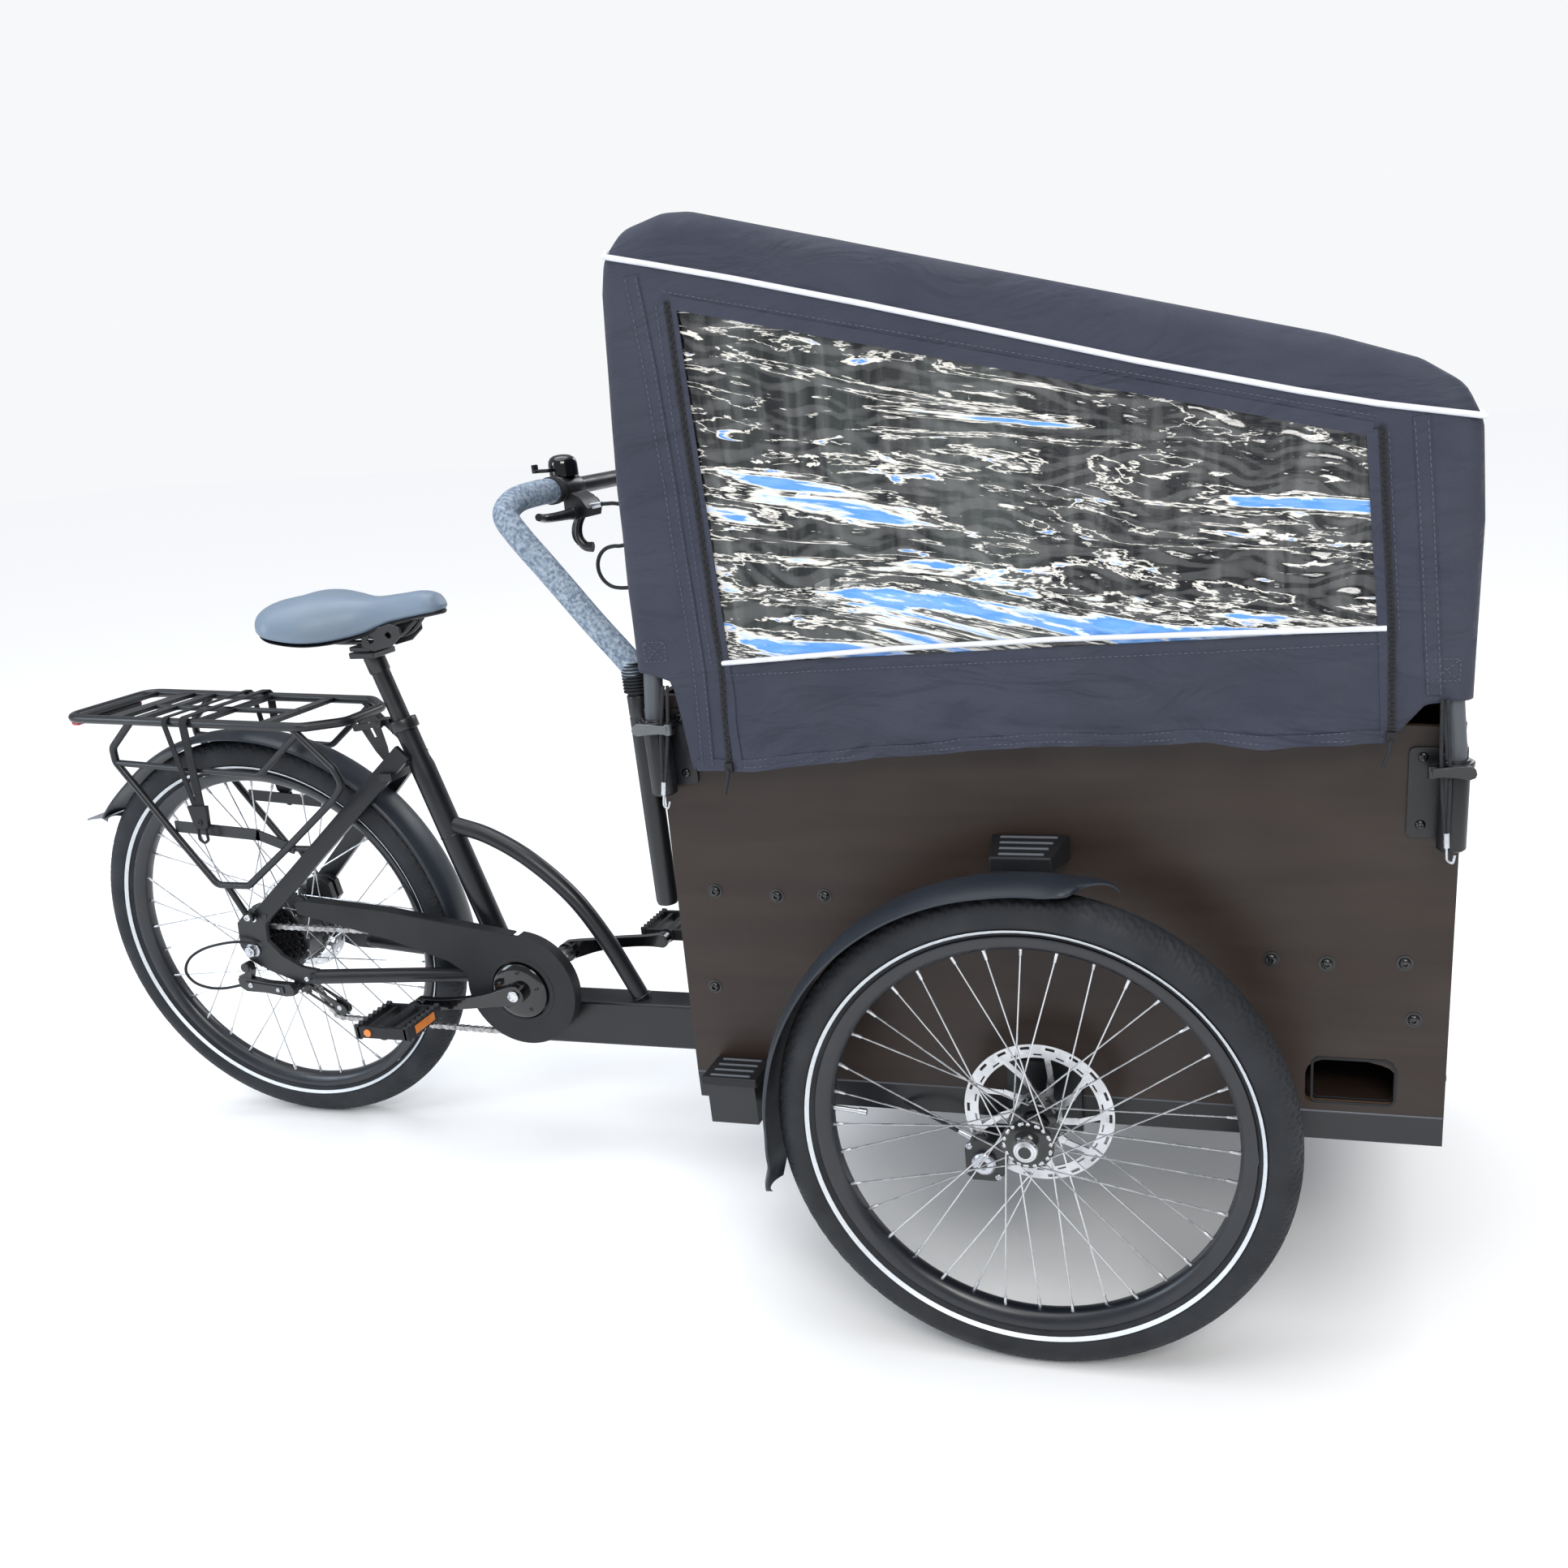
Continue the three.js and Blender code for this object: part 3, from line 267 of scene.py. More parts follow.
def make_surfaces():
    paint = Surface("frame_paint", (0.0075, 0.0085, 0.011), 0.3, 0.0, Specular_IOR_Level=0.5)
    paint.shades(0.18, 4).gloss(0.28, 0.42, 14)
    paint.bump(paint.noise(900, 2), 0.00012, 0.5)

    grey_paint = Surface("pole_paint", (0.085, 0.095, 0.11), 0.42, 0.2)
    grey_paint.shades(0.12, 5).gloss(0.34, 0.52, 20)
    grey_paint.bump(grey_paint.noise(800, 2), 0.0001, 0.4)

    plastic = Surface("black_plastic", (0.0075, 0.008, 0.010), 0.48, Specular_IOR_Level=0.38)
    plastic.shades(0.2, 9).gloss(0.42, 0.6, 12)
    plastic.bump(plastic.voronoi(1500), 0.00012, 0.5)

    fender = Surface("fender", (0.014, 0.019, 0.028), 0.4, Specular_IOR_Level=0.5)
    fender.shades(0.12, 5).gloss(0.36, 0.5, 10)
    fender.bump(fender.voronoi(1300), 0.0001, 0.5)

    alloy = Surface("alloy", (0.52, 0.54, 0.58), 0.3, 1.0)
    alloy.shades(0.08, 30).gloss(0.22, 0.42, 60, (1, 1, 8))

    steel = Surface("steel", (0.62, 0.63, 0.65), 0.25, 1.0)
    steel.shades(0.1, 40).gloss(0.18, 0.4, 80)

    chain = Surface("chain", (0.46, 0.46, 0.47), 0.32, 1.0)
    chain.tint(chain.noise(120, 5), (0.2, 0.19, 0.18), (0.56, 0.56, 0.57)).gloss(0.25, 0.5, 90)

    black_metal = Surface("black_metal", (0.011, 0.0115, 0.013), 0.28, 0.0, Specular_IOR_Level=0.6)
    black_metal.shades(0.2, 15).gloss(0.24, 0.42, 25)
    black_metal.bump(black_metal.noise(700, 2), 0.00006, 0.4)

    gloss_black = Surface("gloss_black", (0.004, 0.004, 0.005), 0.1, 0.0, Coat_Weight=0.35,
                          Coat_Roughness=0.05)
    gloss_black.gloss(0.08, 0.2, 18)

    rim = Surface("rim", (0.008, 0.010, 0.015), 0.26, 0.0, Specular_IOR_Level=0.6)
    rim.shades(0.15, 12).gloss(0.24, 0.4, 20)

    rubber = Surface("rubber", (0.014, 0.016, 0.02), 0.66, Specular_IOR_Level=0.4)
    rubber.shades(0.22, 14).gloss(0.6, 0.82, 25)
    rubber.bump(rubber.noise(420, 4), 0.0002, 0.5)

    stripe = Surface("reflective_stripe", (0.72, 0.76, 0.8), 0.3, 0.1)
    stripe.shades(0.06, 200)
    stripe.bump(stripe.voronoi(2600), 0.0001, 0.6)

    canvas = Surface("canvas", (0.03, 0.034, 0.056), 0.7, Sheen_Weight=0.06, Sheen_Roughness=0.35)
    canvas.tint(canvas.noise(7, 6), (0.027, 0.030, 0.050), (0.032, 0.037, 0.061))
    canvas.gloss(0.68, 0.86, 11)
    for direction in "XZ":
        canvas.bump(canvas.wave(260, direction, 0.6), 0.00022, 0.45)
    canvas.bump(canvas.wave(260, "Y", 0.6), 0.00022, 0.35)
    canvas.bump(canvas.noise(45, 5), 0.0012, 0.5)
    canvas.bump(canvas.noise(7, 3, (1, 1, 2.6), 1.4), 0.022, 0.65)

    trim = Surface("canvas_trim", (0.016, 0.017, 0.022), 0.8)
    trim.shades(0.2, 30)
    trim.bump(trim.wave(420, "DIAGONAL"), 0.0003, 0.6)

    piping = Surface("piping", (0.74, 0.76, 0.8), 0.4)
    piping.shades(0.05, 60)
    piping.bump(piping.wave(500, "X"), 0.0002, 0.5)

    thread = Surface("thread", (0.075, 0.082, 0.115), 0.7)
    thread.shades(0.15, 80)

    # The film's colour is painted light. Its dark ground is painted shade, standing for the shaded inside
    # seen through the film. Faint pale streaks are painted reflection, and so are the broad and fine cream
    # and sky-blue streaks with their thin outlines. The film is more opaque where these painted reflections
    # lie.
    film = Surface("window_film", (0.05, 0.06, 0.055), 0.07, 0.0, Coat_Weight=1.0, Coat_Roughness=0.02)
    painted_dark_inside = film.ramp(film.noise(1.0, 3.0, (5.5, 1.0, 0.7)),
                      [(0.40, (0.006, 0.007, 0.009)), (0.48, (0.009, 0.010, 0.012)),
                       (0.51, (0.036, 0.042, 0.041)),
                       (0.61, (0.050, 0.058, 0.056)), (0.66, (0.105, 0.115, 0.108))])
    pale_reflection_mask = film.ramp(film.noise(1.0, 5.0, (60, 1.0, 9.0), 0.6), [(0.45, 0.0), (0.8, 0.22)])
    pale = film.ramp(film.noise(3.0), [(0.0, (0.42, 0.44, 0.42)), (1.0, (0.50, 0.52, 0.50))])
    ground = film.mix(pale_reflection_mask, painted_dark_inside, pale)
    broad = film.noise(1.0, 7.0, (3.0, 1.0, 19.0), 0.5, 0.6, FILM_TILT)
    fine = film.noise(1.0, 4.0, (15.0, 1.0, 78.0), 0.7, 0.6, FILM_TILT)
    painted_cream_reflection, sky = (0.78, 0.75, 0.69), (0.10, 0.31, 0.74)
    broad_reflection_colour = film.ramp(broad, [(0.0, painted_cream_reflection), (0.597, painted_cream_reflection), (0.607, (0.62, 0.74, 0.92)), (0.620, sky),
                                     (0.68, (0.17, 0.41, 0.82)), (0.70, (0.72, 0.82, 0.94)),
                                     (1.0, (0.9, 0.92, 0.95))])
    # Masks of the painted reflection streaks, with thin painted outlines round them.
    reflection_outlines = [(0.0, 0.0)]
    for level, half in ((0.428, 0.003), (0.551, 0.0035)):
        reflection_outlines += [(level - half - 0.003, 0.0), (level - half, 1.0), (level + half, 1.0),
                     (level + half + 0.003, 0.0)]
    broad_reflection_mask = film.ramp(broad, [*reflection_outlines, (0.578, 0.0), (0.588, 1.0)])
    fine_reflection_mask = film.ramp(fine, [(0.618, 0.0), (0.630, 1.0)])
    fine_reflection_colour = film.ramp(fine, [(0.0, painted_cream_reflection), (0.665, painted_cream_reflection), (0.69, sky)])
    painted_reflections = film.mix(broad_reflection_mask, film.mix(fine_reflection_mask, ground, fine_reflection_colour), broad_reflection_colour)
    film.link(painted_reflections, film.shader.inputs["Base Color"])
    both = film.node("ShaderNodeMath", operation="MAXIMUM")
    film.link(broad_reflection_mask, both.inputs[0])
    film.link(fine_reflection_mask, both.inputs[1])
    film.link(film.ramp(both.outputs["Value"], [(0.0, 0.84), (1.0, 1.0)]), film.shader.inputs["Alpha"])
    film.bump(broad, 0.004, 0.5)
    film.bump(film.noise(26, 4, (1, 1, 2.6), 0.8), 0.002, 0.35)

    plywood = Surface("plywood", (0.022, 0.0145, 0.012), 0.44, Specular_IOR_Level=0.4)
    grain = plywood.noise(5, 8, (1, 1, 7), 0.4)
    face = plywood.ramp(grain, [(0.3, (0.0195, 0.0115, 0.0085)), (0.7, (0.028, 0.0172, 0.013))])
    layers = plywood.ramp(plywood.wave(330, "Y", 0.4),
                          [(0.35, (0.06, 0.035, 0.02)), (0.65, (0.13, 0.085, 0.05))])
    normal = plywood.node("ShaderNodeNewGeometry")
    split = plywood.node("ShaderNodeSeparateXYZ")
    plywood.link(normal.outputs["Normal"], split.inputs["Vector"])
    size = plywood.node("ShaderNodeMath", operation="ABSOLUTE")
    plywood.link(split.outputs["Y"], size.inputs[0])
    edge = plywood.node("ShaderNodeMath", operation="LESS_THAN")
    plywood.link(size.outputs["Value"], edge.inputs[0])
    edge.inputs[1].default_value = 0.5
    plywood.link(plywood.mix(edge.outputs["Value"], face, layers), plywood.shader.inputs["Base Color"])
    plywood.gloss(0.36, 0.52, 9)
    plywood.bump(plywood.noise(520, 3), 0.00016, 0.5)
    plywood.bump(grain, 0.0004, 0.25)

    board = Surface("board", (0.022, 0.0145, 0.012), 0.45, Specular_IOR_Level=0.4)
    board.tint(board.noise(5, 8, (1, 5, 5), 0.4), (0.0195, 0.0115, 0.0085), (0.028, 0.0172, 0.013))
    board.gloss(0.38, 0.55, 9)
    board.bump(board.noise(520, 3), 0.00016, 0.5)

    foam = Surface("foam_sleeve", (0.2, 0.25, 0.33), 0.8)
    foam.tint(foam.noise(230, 4), (0.12, 0.16, 0.225), (0.33, 0.40, 0.48), 0.36, 0.66)
    foam.bump(foam.voronoi(420), 0.0006, 0.7)

    saddle = Surface("saddle_cover", (0.17, 0.225, 0.295), 0.4, Specular_IOR_Level=0.5)
    saddle.tint(saddle.noise(9, 5), (0.155, 0.205, 0.27), (0.185, 0.245, 0.32)).gloss(0.36, 0.5, 12)
    saddle.bump(saddle.voronoi(900), 0.00016, 0.5)

    webbing = Surface("webbing", (0.011, 0.011, 0.013), 0.85)
    webbing.shades(0.25, 60)
    webbing.bump(webbing.wave(140, "Z"), 0.0008, 0.7)
    webbing.bump(webbing.wave(140, "Y"), 0.0008, 0.7)

    red = Surface("red_lens", (0.42, 0.01, 0.015), 0.12, Coat_Weight=0.6, Coat_Roughness=0.05)
    red.shades(0.12, 60)
    red.bump(red.voronoi(500), 0.0006, 0.5)

    amber = Surface("amber_lens", (0.72, 0.2, 0.01), 0.14, Coat_Weight=0.6, Coat_Roughness=0.05)
    amber.shades(0.12, 60)
    amber.bump(amber.voronoi(500), 0.0006, 0.5)

    elastic = Surface("elastic", (0.02, 0.02, 0.024), 0.8)
    elastic.shades(0.3, 200)
    elastic.bump(elastic.wave(600, "Z", 0.5), 0.0003, 0.6)

    lever = Surface("lever_grey", (0.16, 0.17, 0.18), 0.34, 0.8)
    lever.shades(0.12, 40).gloss(0.28, 0.45, 50)
    return {s.name: s.material for s in (
        paint, grey_paint, plastic, fender, alloy, steel, chain, black_metal, gloss_black, rim, rubber,
        stripe, canvas, trim, piping, thread, film, plywood, board, foam, saddle, webbing, red, amber,
        elastic, lever)}


# ---------------------------------------------------------------- geometry kit
def bend(points, radius, steps=6):
    """The path with each corner rounded to the given radius."""
    path = [Vector(p) for p in points]
    rounded = [path[0]]
    for before, corner, after in zip(path, path[1:], path[2:]):
        into = (before - corner).normalized()
        out = (after - corner).normalized()
        half = into.angle(out) / 2
        reach = radius / max(math.tan(half), 1e-6)
        reach = min(reach, (before - corner).length * 0.48, (after - corner).length * 0.48)
        start, end = corner + into * reach, corner + out * reach
        for k in range(steps + 1):
            t = k / steps
            rounded.append(start.lerp(corner, t).lerp(corner.lerp(end, t), t))
    rounded.append(path[-1])
    return rounded


def curve(points, steps=8):
    """A smooth line through the points."""
    path = [Vector(p) for p in points]
    path = [path[0] * 2 - path[1], *path, path[-1] * 2 - path[-2]]
    found = []
    for a, b, c, d in zip(path, path[1:], path[2:], path[3:]):
        for k in range(steps):
            t = k / steps
            found.append((b * 2 + (c - a) * t + (a * 2 - b * 5 + c * 4 - d) * t * t
                          + (b * 3 - a - c * 3 + d) * t ** 3) / 2)
    return [*found, path[-2]]


def polar(centre, radius, degrees):
    angle = math.radians(degrees)
    return centre[0] + radius * math.cos(angle), centre[1] + radius * math.sin(angle)


def low_high(a, b):
    """The lower and the higher of two numbers."""
    return (a, b) if a < b else (b, a)


def ring_faces(rings, count):
    """The faces of a closed tube made of rings of points: its wall, and a cap on each end."""
    faces = []
    for i in range(rings - 1):
        for k in range(count):
            a, b = i * count + k, i * count + (k + 1) % count
            faces.append((a, b, b + count, a + count))
    last = (rings - 1) * count
    return [*faces, tuple(range(count))[::-1], tuple(range(last, last + count))]


def place_in_frame(p):
    """A place in millimetres from the front axle, as metres in the CAD's frame."""
    return Vector((FRONT_AXLE_X + p.x * MM, p.y * MM, p.z * MM))


def across(axis):
    """Two unit directions square to an axis."""
    axis = Vector(axis).normalized()
    helper = Vector((0, 0, 1)) if abs(axis.z) < 0.9 else Vector((1, 0, 0))
    first = axis.cross(helper).normalized()
    return first, axis.cross(first)


BLOCK_FACES = [(0, 1, 3, 2), (4, 6, 7, 5), (0, 4, 5, 1), (2, 3, 7, 6), (0, 2, 6, 4), (1, 5, 7, 3)]
MIRROR = Matrix.Diagonal((1, -1, 1, 1))


class Shape:
    """Gathers the faces of one piece, in millimetres, with a material number for each face."""

    def __init__(self):
        self.points = []
        self.faces = []
        self.kinds = []

    def add(self, points, faces, kind=0):
        base = len(self.points)
        self.points += [Vector(p) for p in points]
        self.faces += [tuple(base + i for i in face) for face in faces]
        self.kinds += [kind] * len(faces)
        return self

    def merge(self, other, matrix=Matrix.Identity(4)):
        base = len(self.points)
        flip = matrix.determinant() < 0
        self.points += [matrix @ p for p in other.points]
        for face in other.faces:
            moved = tuple(base + i for i in face)
            self.faces.append(moved[::-1] if flip else moved)
        self.kinds += other.kinds
        return self

    def mirrored(self):
        """This shape and its mirror image across the middle plane."""
        return Shape().merge(self).merge(self, MIRROR)

    def tube(self, path, radius, sides=14, kind=0):
        """A closed tube along a path; radius is one number or one for each point."""
        path = [Vector(p) for p in path]
        radii = [radius] * len(path) if isinstance(radius, (int, float)) else radius
        runs = [(b - a).normalized() for a, b in zip(path, path[1:])]
        side = across(runs[0])[0]
        points = []
        for i, place in enumerate(path):
            before, after = runs[max(i - 1, 0)], runs[min(i, len(runs) - 1)]
            ahead = (before + after).normalized()
            side = (side - ahead * side.dot(ahead)).normalized()
            other = ahead.cross(side)
            for k in range(sides):
                angle = 2 * math.pi * k / sides
                points.append(place + (side * math.cos(angle) + other * math.sin(angle)) * radii[i])
        return self.add(points, ring_faces(len(path), sides), kind)

    def lathe(self, profile, centre, axis=(0, 1, 0), steps=48, kind=0, closed=True):
        """A turned body from (radius, distance along the axis) corners, going outwards round the body."""
        axis = Vector(axis).normalized()
        first, second = across(axis)
        centre = Vector(centre)
        rings, points, faces = [], [], []
        for radius, along in profile:
            if radius < 1e-6:
                rings.append([len(points)] * steps)
                points.append(centre + axis * along)
                continue
            rings.append(list(range(len(points), len(points) + steps)))
            for k in range(steps):
                angle = 2 * math.pi * k / steps
                spoke = first * math.cos(angle) + second * math.sin(angle)
                points.append(centre + spoke * radius + axis * along)
        pairs = list(zip(rings, rings[1:]))
        if closed and profile[0][0] > 1e-6:
            pairs.append((rings[-1], rings[0]))
        for low, high in pairs:
            for k in range(steps):
                face = [low[k], low[(k + 1) % steps], high[(k + 1) % steps], high[k]]
                kept = [p for i, p in enumerate(face) if p not in face[:i]]
                if len(kept) > 2:
                    faces.append(tuple(kept))
        return self.add(points, faces, kind)

    def plate(self, outline, low, high, plane="xz", holes=(), kind=0):
        """A flat plate from an outline and holes, each a list of 2-D corners."""
        def lift(corner, depth):
            u, v = corner
            return {"xz": (u, depth, v), "xy": (u, v, depth), "yz": (depth, u, v)}[plane]

        low, high = low_high(low, high)
        loops = [list(outline), *[list(h) for h in holes]]
        corners = [c for loop in loops for c in loop]
        count = len(corners)
        triangles = tessellate_polygon([[Vector((*c, 0)) for c in loop] for loop in loops])
        points = [lift(c, low) for c in corners] + [lift(c, high) for c in corners]
        handed = -1 if plane == "xz" else 1
        faces = []
        for a, b, c in triangles:
            area = ((corners[b][0] - corners[a][0]) * (corners[c][1] - corners[a][1])
                    - (corners[c][0] - corners[a][0]) * (corners[b][1] - corners[a][1]))
            face = (a, b, c) if area * handed > 0 else (a, c, b)
            faces.append(tuple(count + i for i in face))
            faces.append(face[::-1])
        start = 0
        for number, loop in enumerate(loops):
            size = len(loop)
            area = sum(loop[i][0] * loop[(i + 1) % size][1] - loop[(i + 1) % size][0] * loop[i][1]
                       for i in range(size))
            outwards = (area > 0) == (number == 0)
            for i in range(size):
                a, b = start + i, start + (i + 1) % size
                wall = (a, b, count + b, count + a)
                faces.append(wall if outwards == (handed > 0) else wall[::-1])
            start += size
        return self.add(points, faces, kind)

    def block(self, xs, ys, zs, kind=0):
        """A block between two places on each axis."""
        xs, ys, zs = low_high(*xs), low_high(*ys), low_high(*zs)
        return self.add([(x, y, z) for x in xs for y in ys for z in zs], BLOCK_FACES, kind)

    def bar(self, start, end, thick, deep):
        """A flat bar between two points: thick across Y, deep in the other direction."""
        start, end = Vector(start), Vector(end)
        ahead = (end - start).normalized()
        side = (Vector((0, 1, 0)) - ahead * ahead.y).normalized()
        other = side.cross(ahead)
        points = [p + side * (a * thick / 2) + other * (b * deep / 2)
                  for p in (start, end) for a in (-1, 1) for b in (-1, 1)]
        return self.add(points, BLOCK_FACES)

    def strip(self, path, width, thick, up=(0, 0, 1), kind=0):
        """A flat band along a path, its width along up; width is one number or one for each point."""
        path = [Vector(p) for p in path]
        widths = [width] * len(path) if isinstance(width, (int, float)) else width
        points, last = [], len(path) - 1
        for i, place in enumerate(path):
            ahead = (path[min(i + 1, last)] - path[max(i - 1, 0)]).normalized()
            rise = (Vector(up) - ahead * ahead.dot(Vector(up))).normalized()
            side = ahead.cross(rise)
            for a, b in ((-1, -1), (1, -1), (1, 1), (-1, 1)):
                points.append(place + rise * (b * widths[i] / 2) + side * (a * thick / 2))
        return self.add(points, ring_faces(len(path), 4), kind)

    def dome_screw(self, place, normal, radius=6.5, kind=0):
        """A domed screw head with a round socket."""
        height = radius * 0.55
        profile = [(0, height * 0.35), (radius * 0.34, height * 0.35), (radius * 0.42, height * 0.98)]
        for k in range(1, 7):
            angle = math.radians(15 * k)
            profile.append((radius * (0.42 + 0.58 * math.sin(angle)), height * math.cos(angle)))
        profile.append((radius, -0.6))
        return self.lathe([*profile[::-1]], place, normal, 18, kind, False)

    def make(self, name, materials, body, slot=None, replaces=(), bevel=0.0, smooth=40, segments=2,
             closed=True, weld=False):
        """The piece's object: beveled, riding on a body, with the CAD nodes it stands for; slot is not used.
        """
        mesh = bpy.data.meshes.new(name)
        mesh.from_pydata([place_in_frame(p) for p in self.points], [], self.faces)
        mesh.validate()
        for key in ([materials] if isinstance(materials, str) else materials):
            mesh.materials.append(SURFACES[key])
        if len(mesh.polygons) == len(self.kinds):
            mesh.polygons.foreach_set("material_index", self.kinds)
        work = bmesh.new()
        work.from_mesh(mesh)
        if weld:
            bmesh.ops.remove_doubles(work, verts=work.verts, dist=2e-5)
        if closed:
            bmesh.ops.recalc_face_normals(work, faces=work.faces)
        work.to_mesh(mesh)
        work.free()
        mesh.polygons.foreach_set("use_smooth", [True] * len(mesh.polygons))
        mesh.set_sharp_from_angle(angle=math.radians(smooth))
        mesh.update()
        piece = put_in_scene(name, mesh)
        soften(piece, bevel, segments)
        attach(piece, body)
        if replaces:
            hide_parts(*replaces)
        return piece


def soften(piece, bevel, segments=2):
    """Rounds a piece's sharp edges by so many millimetres."""
    if not bevel:
        return
    modifier = piece.modifiers.new("edge", "BEVEL")
    modifier.width = bevel * MM
    modifier.segments = segments
    modifier.limit_method = "ANGLE"
    modifier.angle_limit = math.radians(38)
    modifier.harden_normals = False


def dress(node, surface, bevel):
    """Gives a CAD node that stays its material, and softens its edges."""
    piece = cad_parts[node]
    piece.data.materials.clear()
    piece.data.materials.append(SURFACES[surface])
    soften(piece, bevel)


# ---------------------------------------------------------------- wheels
def tyre_shape(centre, radius, steps):
    """A tyre turned about Y: crossed grooves on its shoulders, and a fine slanted hatch below them."""
    half, height, arms = 25.0, 24.5, []
    for degrees in range(-124, 125, 8):
        angle = math.radians(degrees)
        arms.append((radius - height + height * math.cos(angle), half * math.sin(angle), degrees))
    bead = radius - 48.5
    arms = [(bead, -13, -180), (bead + 5, -15.5, -170), *arms, (bead + 5, 15.5, 170), (bead, 13, 180)]
    points, count = [], len(arms)
    for k in range(steps):
        angle = 2 * math.pi * k / steps
        for reach, y, degrees in arms:
            depth = 0.0
            lean = abs(degrees)
            turns = k / steps * 80 + (0.5 if degrees > 0 else 0)
            if 8 < lean <= 60:
                if (turns + lean / 30) % 1 < 0.17 or (turns - lean / 22) % 1 < 0.13:
                    depth = 1.7
            elif 60 < lean <= 100:
                depth = 0.8 if (k + int(lean / 8)) % 4 < 2 else 0.0
            elif lean < 6:
                depth = 0.7 if turns % 1 < 0.2 else 0.0
            spoke = reach - depth
            points.append((centre[0] + spoke * math.cos(angle), centre[1] + y,
                           centre[2] + spoke * math.sin(angle)))
    faces = []
    for k in range(steps):
        low, high = k * count, ((k + 1) % steps) * count
        for i in range(count):
            j = (i + 1) % count
            faces.append((low + i, high + i, high + j, low + j))
    shape = Shape().add(points, faces)
    for side in (-1, 1):
        shape.lathe([(radius - 42.5, side * 18.5), (radius - 40.6, side * 20.8), (radius - 38.6, side * 22.4),
                     (radius - 38.9, side * 22.7), (radius - 40.8, side * 21.1),
                     (radius - 42.8, side * 18.8)],
                    centre, steps=120, kind=1)
    return shape


def rim_shape(centre, radius):
    outer = radius - 48.8
    profile = [(outer, -15), (outer - 1.5, -15.6), (outer - 6, -15), (outer - 12, -12.5), (outer - 17, -9),
               (outer - 18.7, -5), (outer - 19, 0), (outer - 18.7, 5), (outer - 17, 9), (outer - 12, 12.5),
               (outer - 6, 15), (outer - 1.5, 15.6), (outer, 15), (outer - 0.6, 13.6), (outer - 5, 12.6),
               (outer - 8, 8), (outer - 9, 0), (outer - 8, -8), (outer - 5, -12.6), (outer - 0.6, -13.6)]
    return Shape().lathe(profile, centre, steps=180)


def lacing(centre, hub_radius, flanges, radius):
    """Thirty-six spokes, crossed three times on each side, with their nipples and heads."""
    shape = Shape()
    rim_radius = radius - 48.8 - 19
    for i in range(36):
        rim_angle = i * 10.0
        side = i % 2
        leads = (i // 2) % 2 == 0
        hub_angle = rim_angle + (60 if leads else -60)
        flange = flanges[side] + (1.6 if leads else -1.6)
        x, z = polar((centre[0], centre[2]), hub_radius, hub_angle)
        start = Vector((x, centre[1] + flange, z))
        x, z = polar((centre[0], centre[2]), rim_radius + 1, rim_angle)
        end = Vector((x, centre[1] + (3 if side else -3), z))
        ahead = (end - start).normalized()
        shape.tube([start, end - ahead * 12], 1.0, 8)
        shape.tube([end - ahead * 13, end - ahead * 12, end - ahead * 3, end], [1.3, 2.0, 2.1, 2.6], 8)
        head = 1 if flange > flanges[side] else -1
        shape.lathe([(2.4, -1.6), (2.4, -0.2), (1.6, 0.6), (0, 0.8)],
                    (start.x, centre[1] + flanges[side] - head * 1.9, start.z), (0, -head, 0), 10, 0, False)
    return shape


def slotted_rotor(centre, radius, y):
    """A brake disc: a ring with two rows of short slots, and slanted arms to a carrier."""
    cells, bands = 144, [radius - 17, radius - 14, radius - 12, radius - 8.5, radius - 6.5, radius - 3,
                         radius - 1.2, radius]
    shape = Shape()
    flat = (centre[0], centre[2])
    rings = [[polar(flat, band, 360 * k / cells) for k in range(cells)] for band in bands]
    for face_y, flip in ((y - 1, False), (y + 1, True)):
        points = [(x, centre[1] + face_y, z) for ring in rings for x, z in ring]
        faces = []
        for b in range(len(bands) - 1):
            for k in range(cells):
                if (b == 1 and k % 8 in (2, 3, 4)) or (b == 4 and k % 8 in (6, 7, 0)):
                    continue
                next_k = (k + 1) % cells
                face = (b * cells + k, (b + 1) * cells + k, (b + 1) * cells + next_k, b * cells + next_k)
                faces.append(face if flip else face[::-1])
        shape.add(points, faces)
    walls = [(0, k) for k in range(cells)] + [(len(bands) - 1, k) for k in range(cells)]
    for b, k in walls:
        next_k = (k + 1) % cells
        (x0, z0), (x1, z1) = rings[b][k], rings[b][next_k]
        corners = [(x0, centre[1] + y - 1, z0), (x1, centre[1] + y - 1, z1), (x1, centre[1] + y + 1, z1),
                   (x0, centre[1] + y + 1, z0)]
        shape.add(corners if b else corners[::-1], [(0, 1, 2, 3)])
    for i in range(9):
        x0, z0 = polar(flat, 22, i * 40 - 26)
        x1, z1 = polar(flat, 48, i * 40 - 10)
        x2, z2 = polar(flat, radius - 15.5, i * 40)
        shape.bar((x0, centre[1] + y, z0), (x1, centre[1] + y, z1), 1.9, 9)
        shape.bar((x1, centre[1] + y, z1), (x2, centre[1] + y, z2), 1.9, 7)
    shape.lathe([(18, y - 1), (28, y - 1), (28, y + 1), (18, y + 1)], centre, steps=48)
    for i in range(6):
        x, z = polar(flat, 22, i * 60)
        shape.dome_screw((x, centre[1] + y - 1, z), (0, -1, 0), 3.6, 1)
    return shape


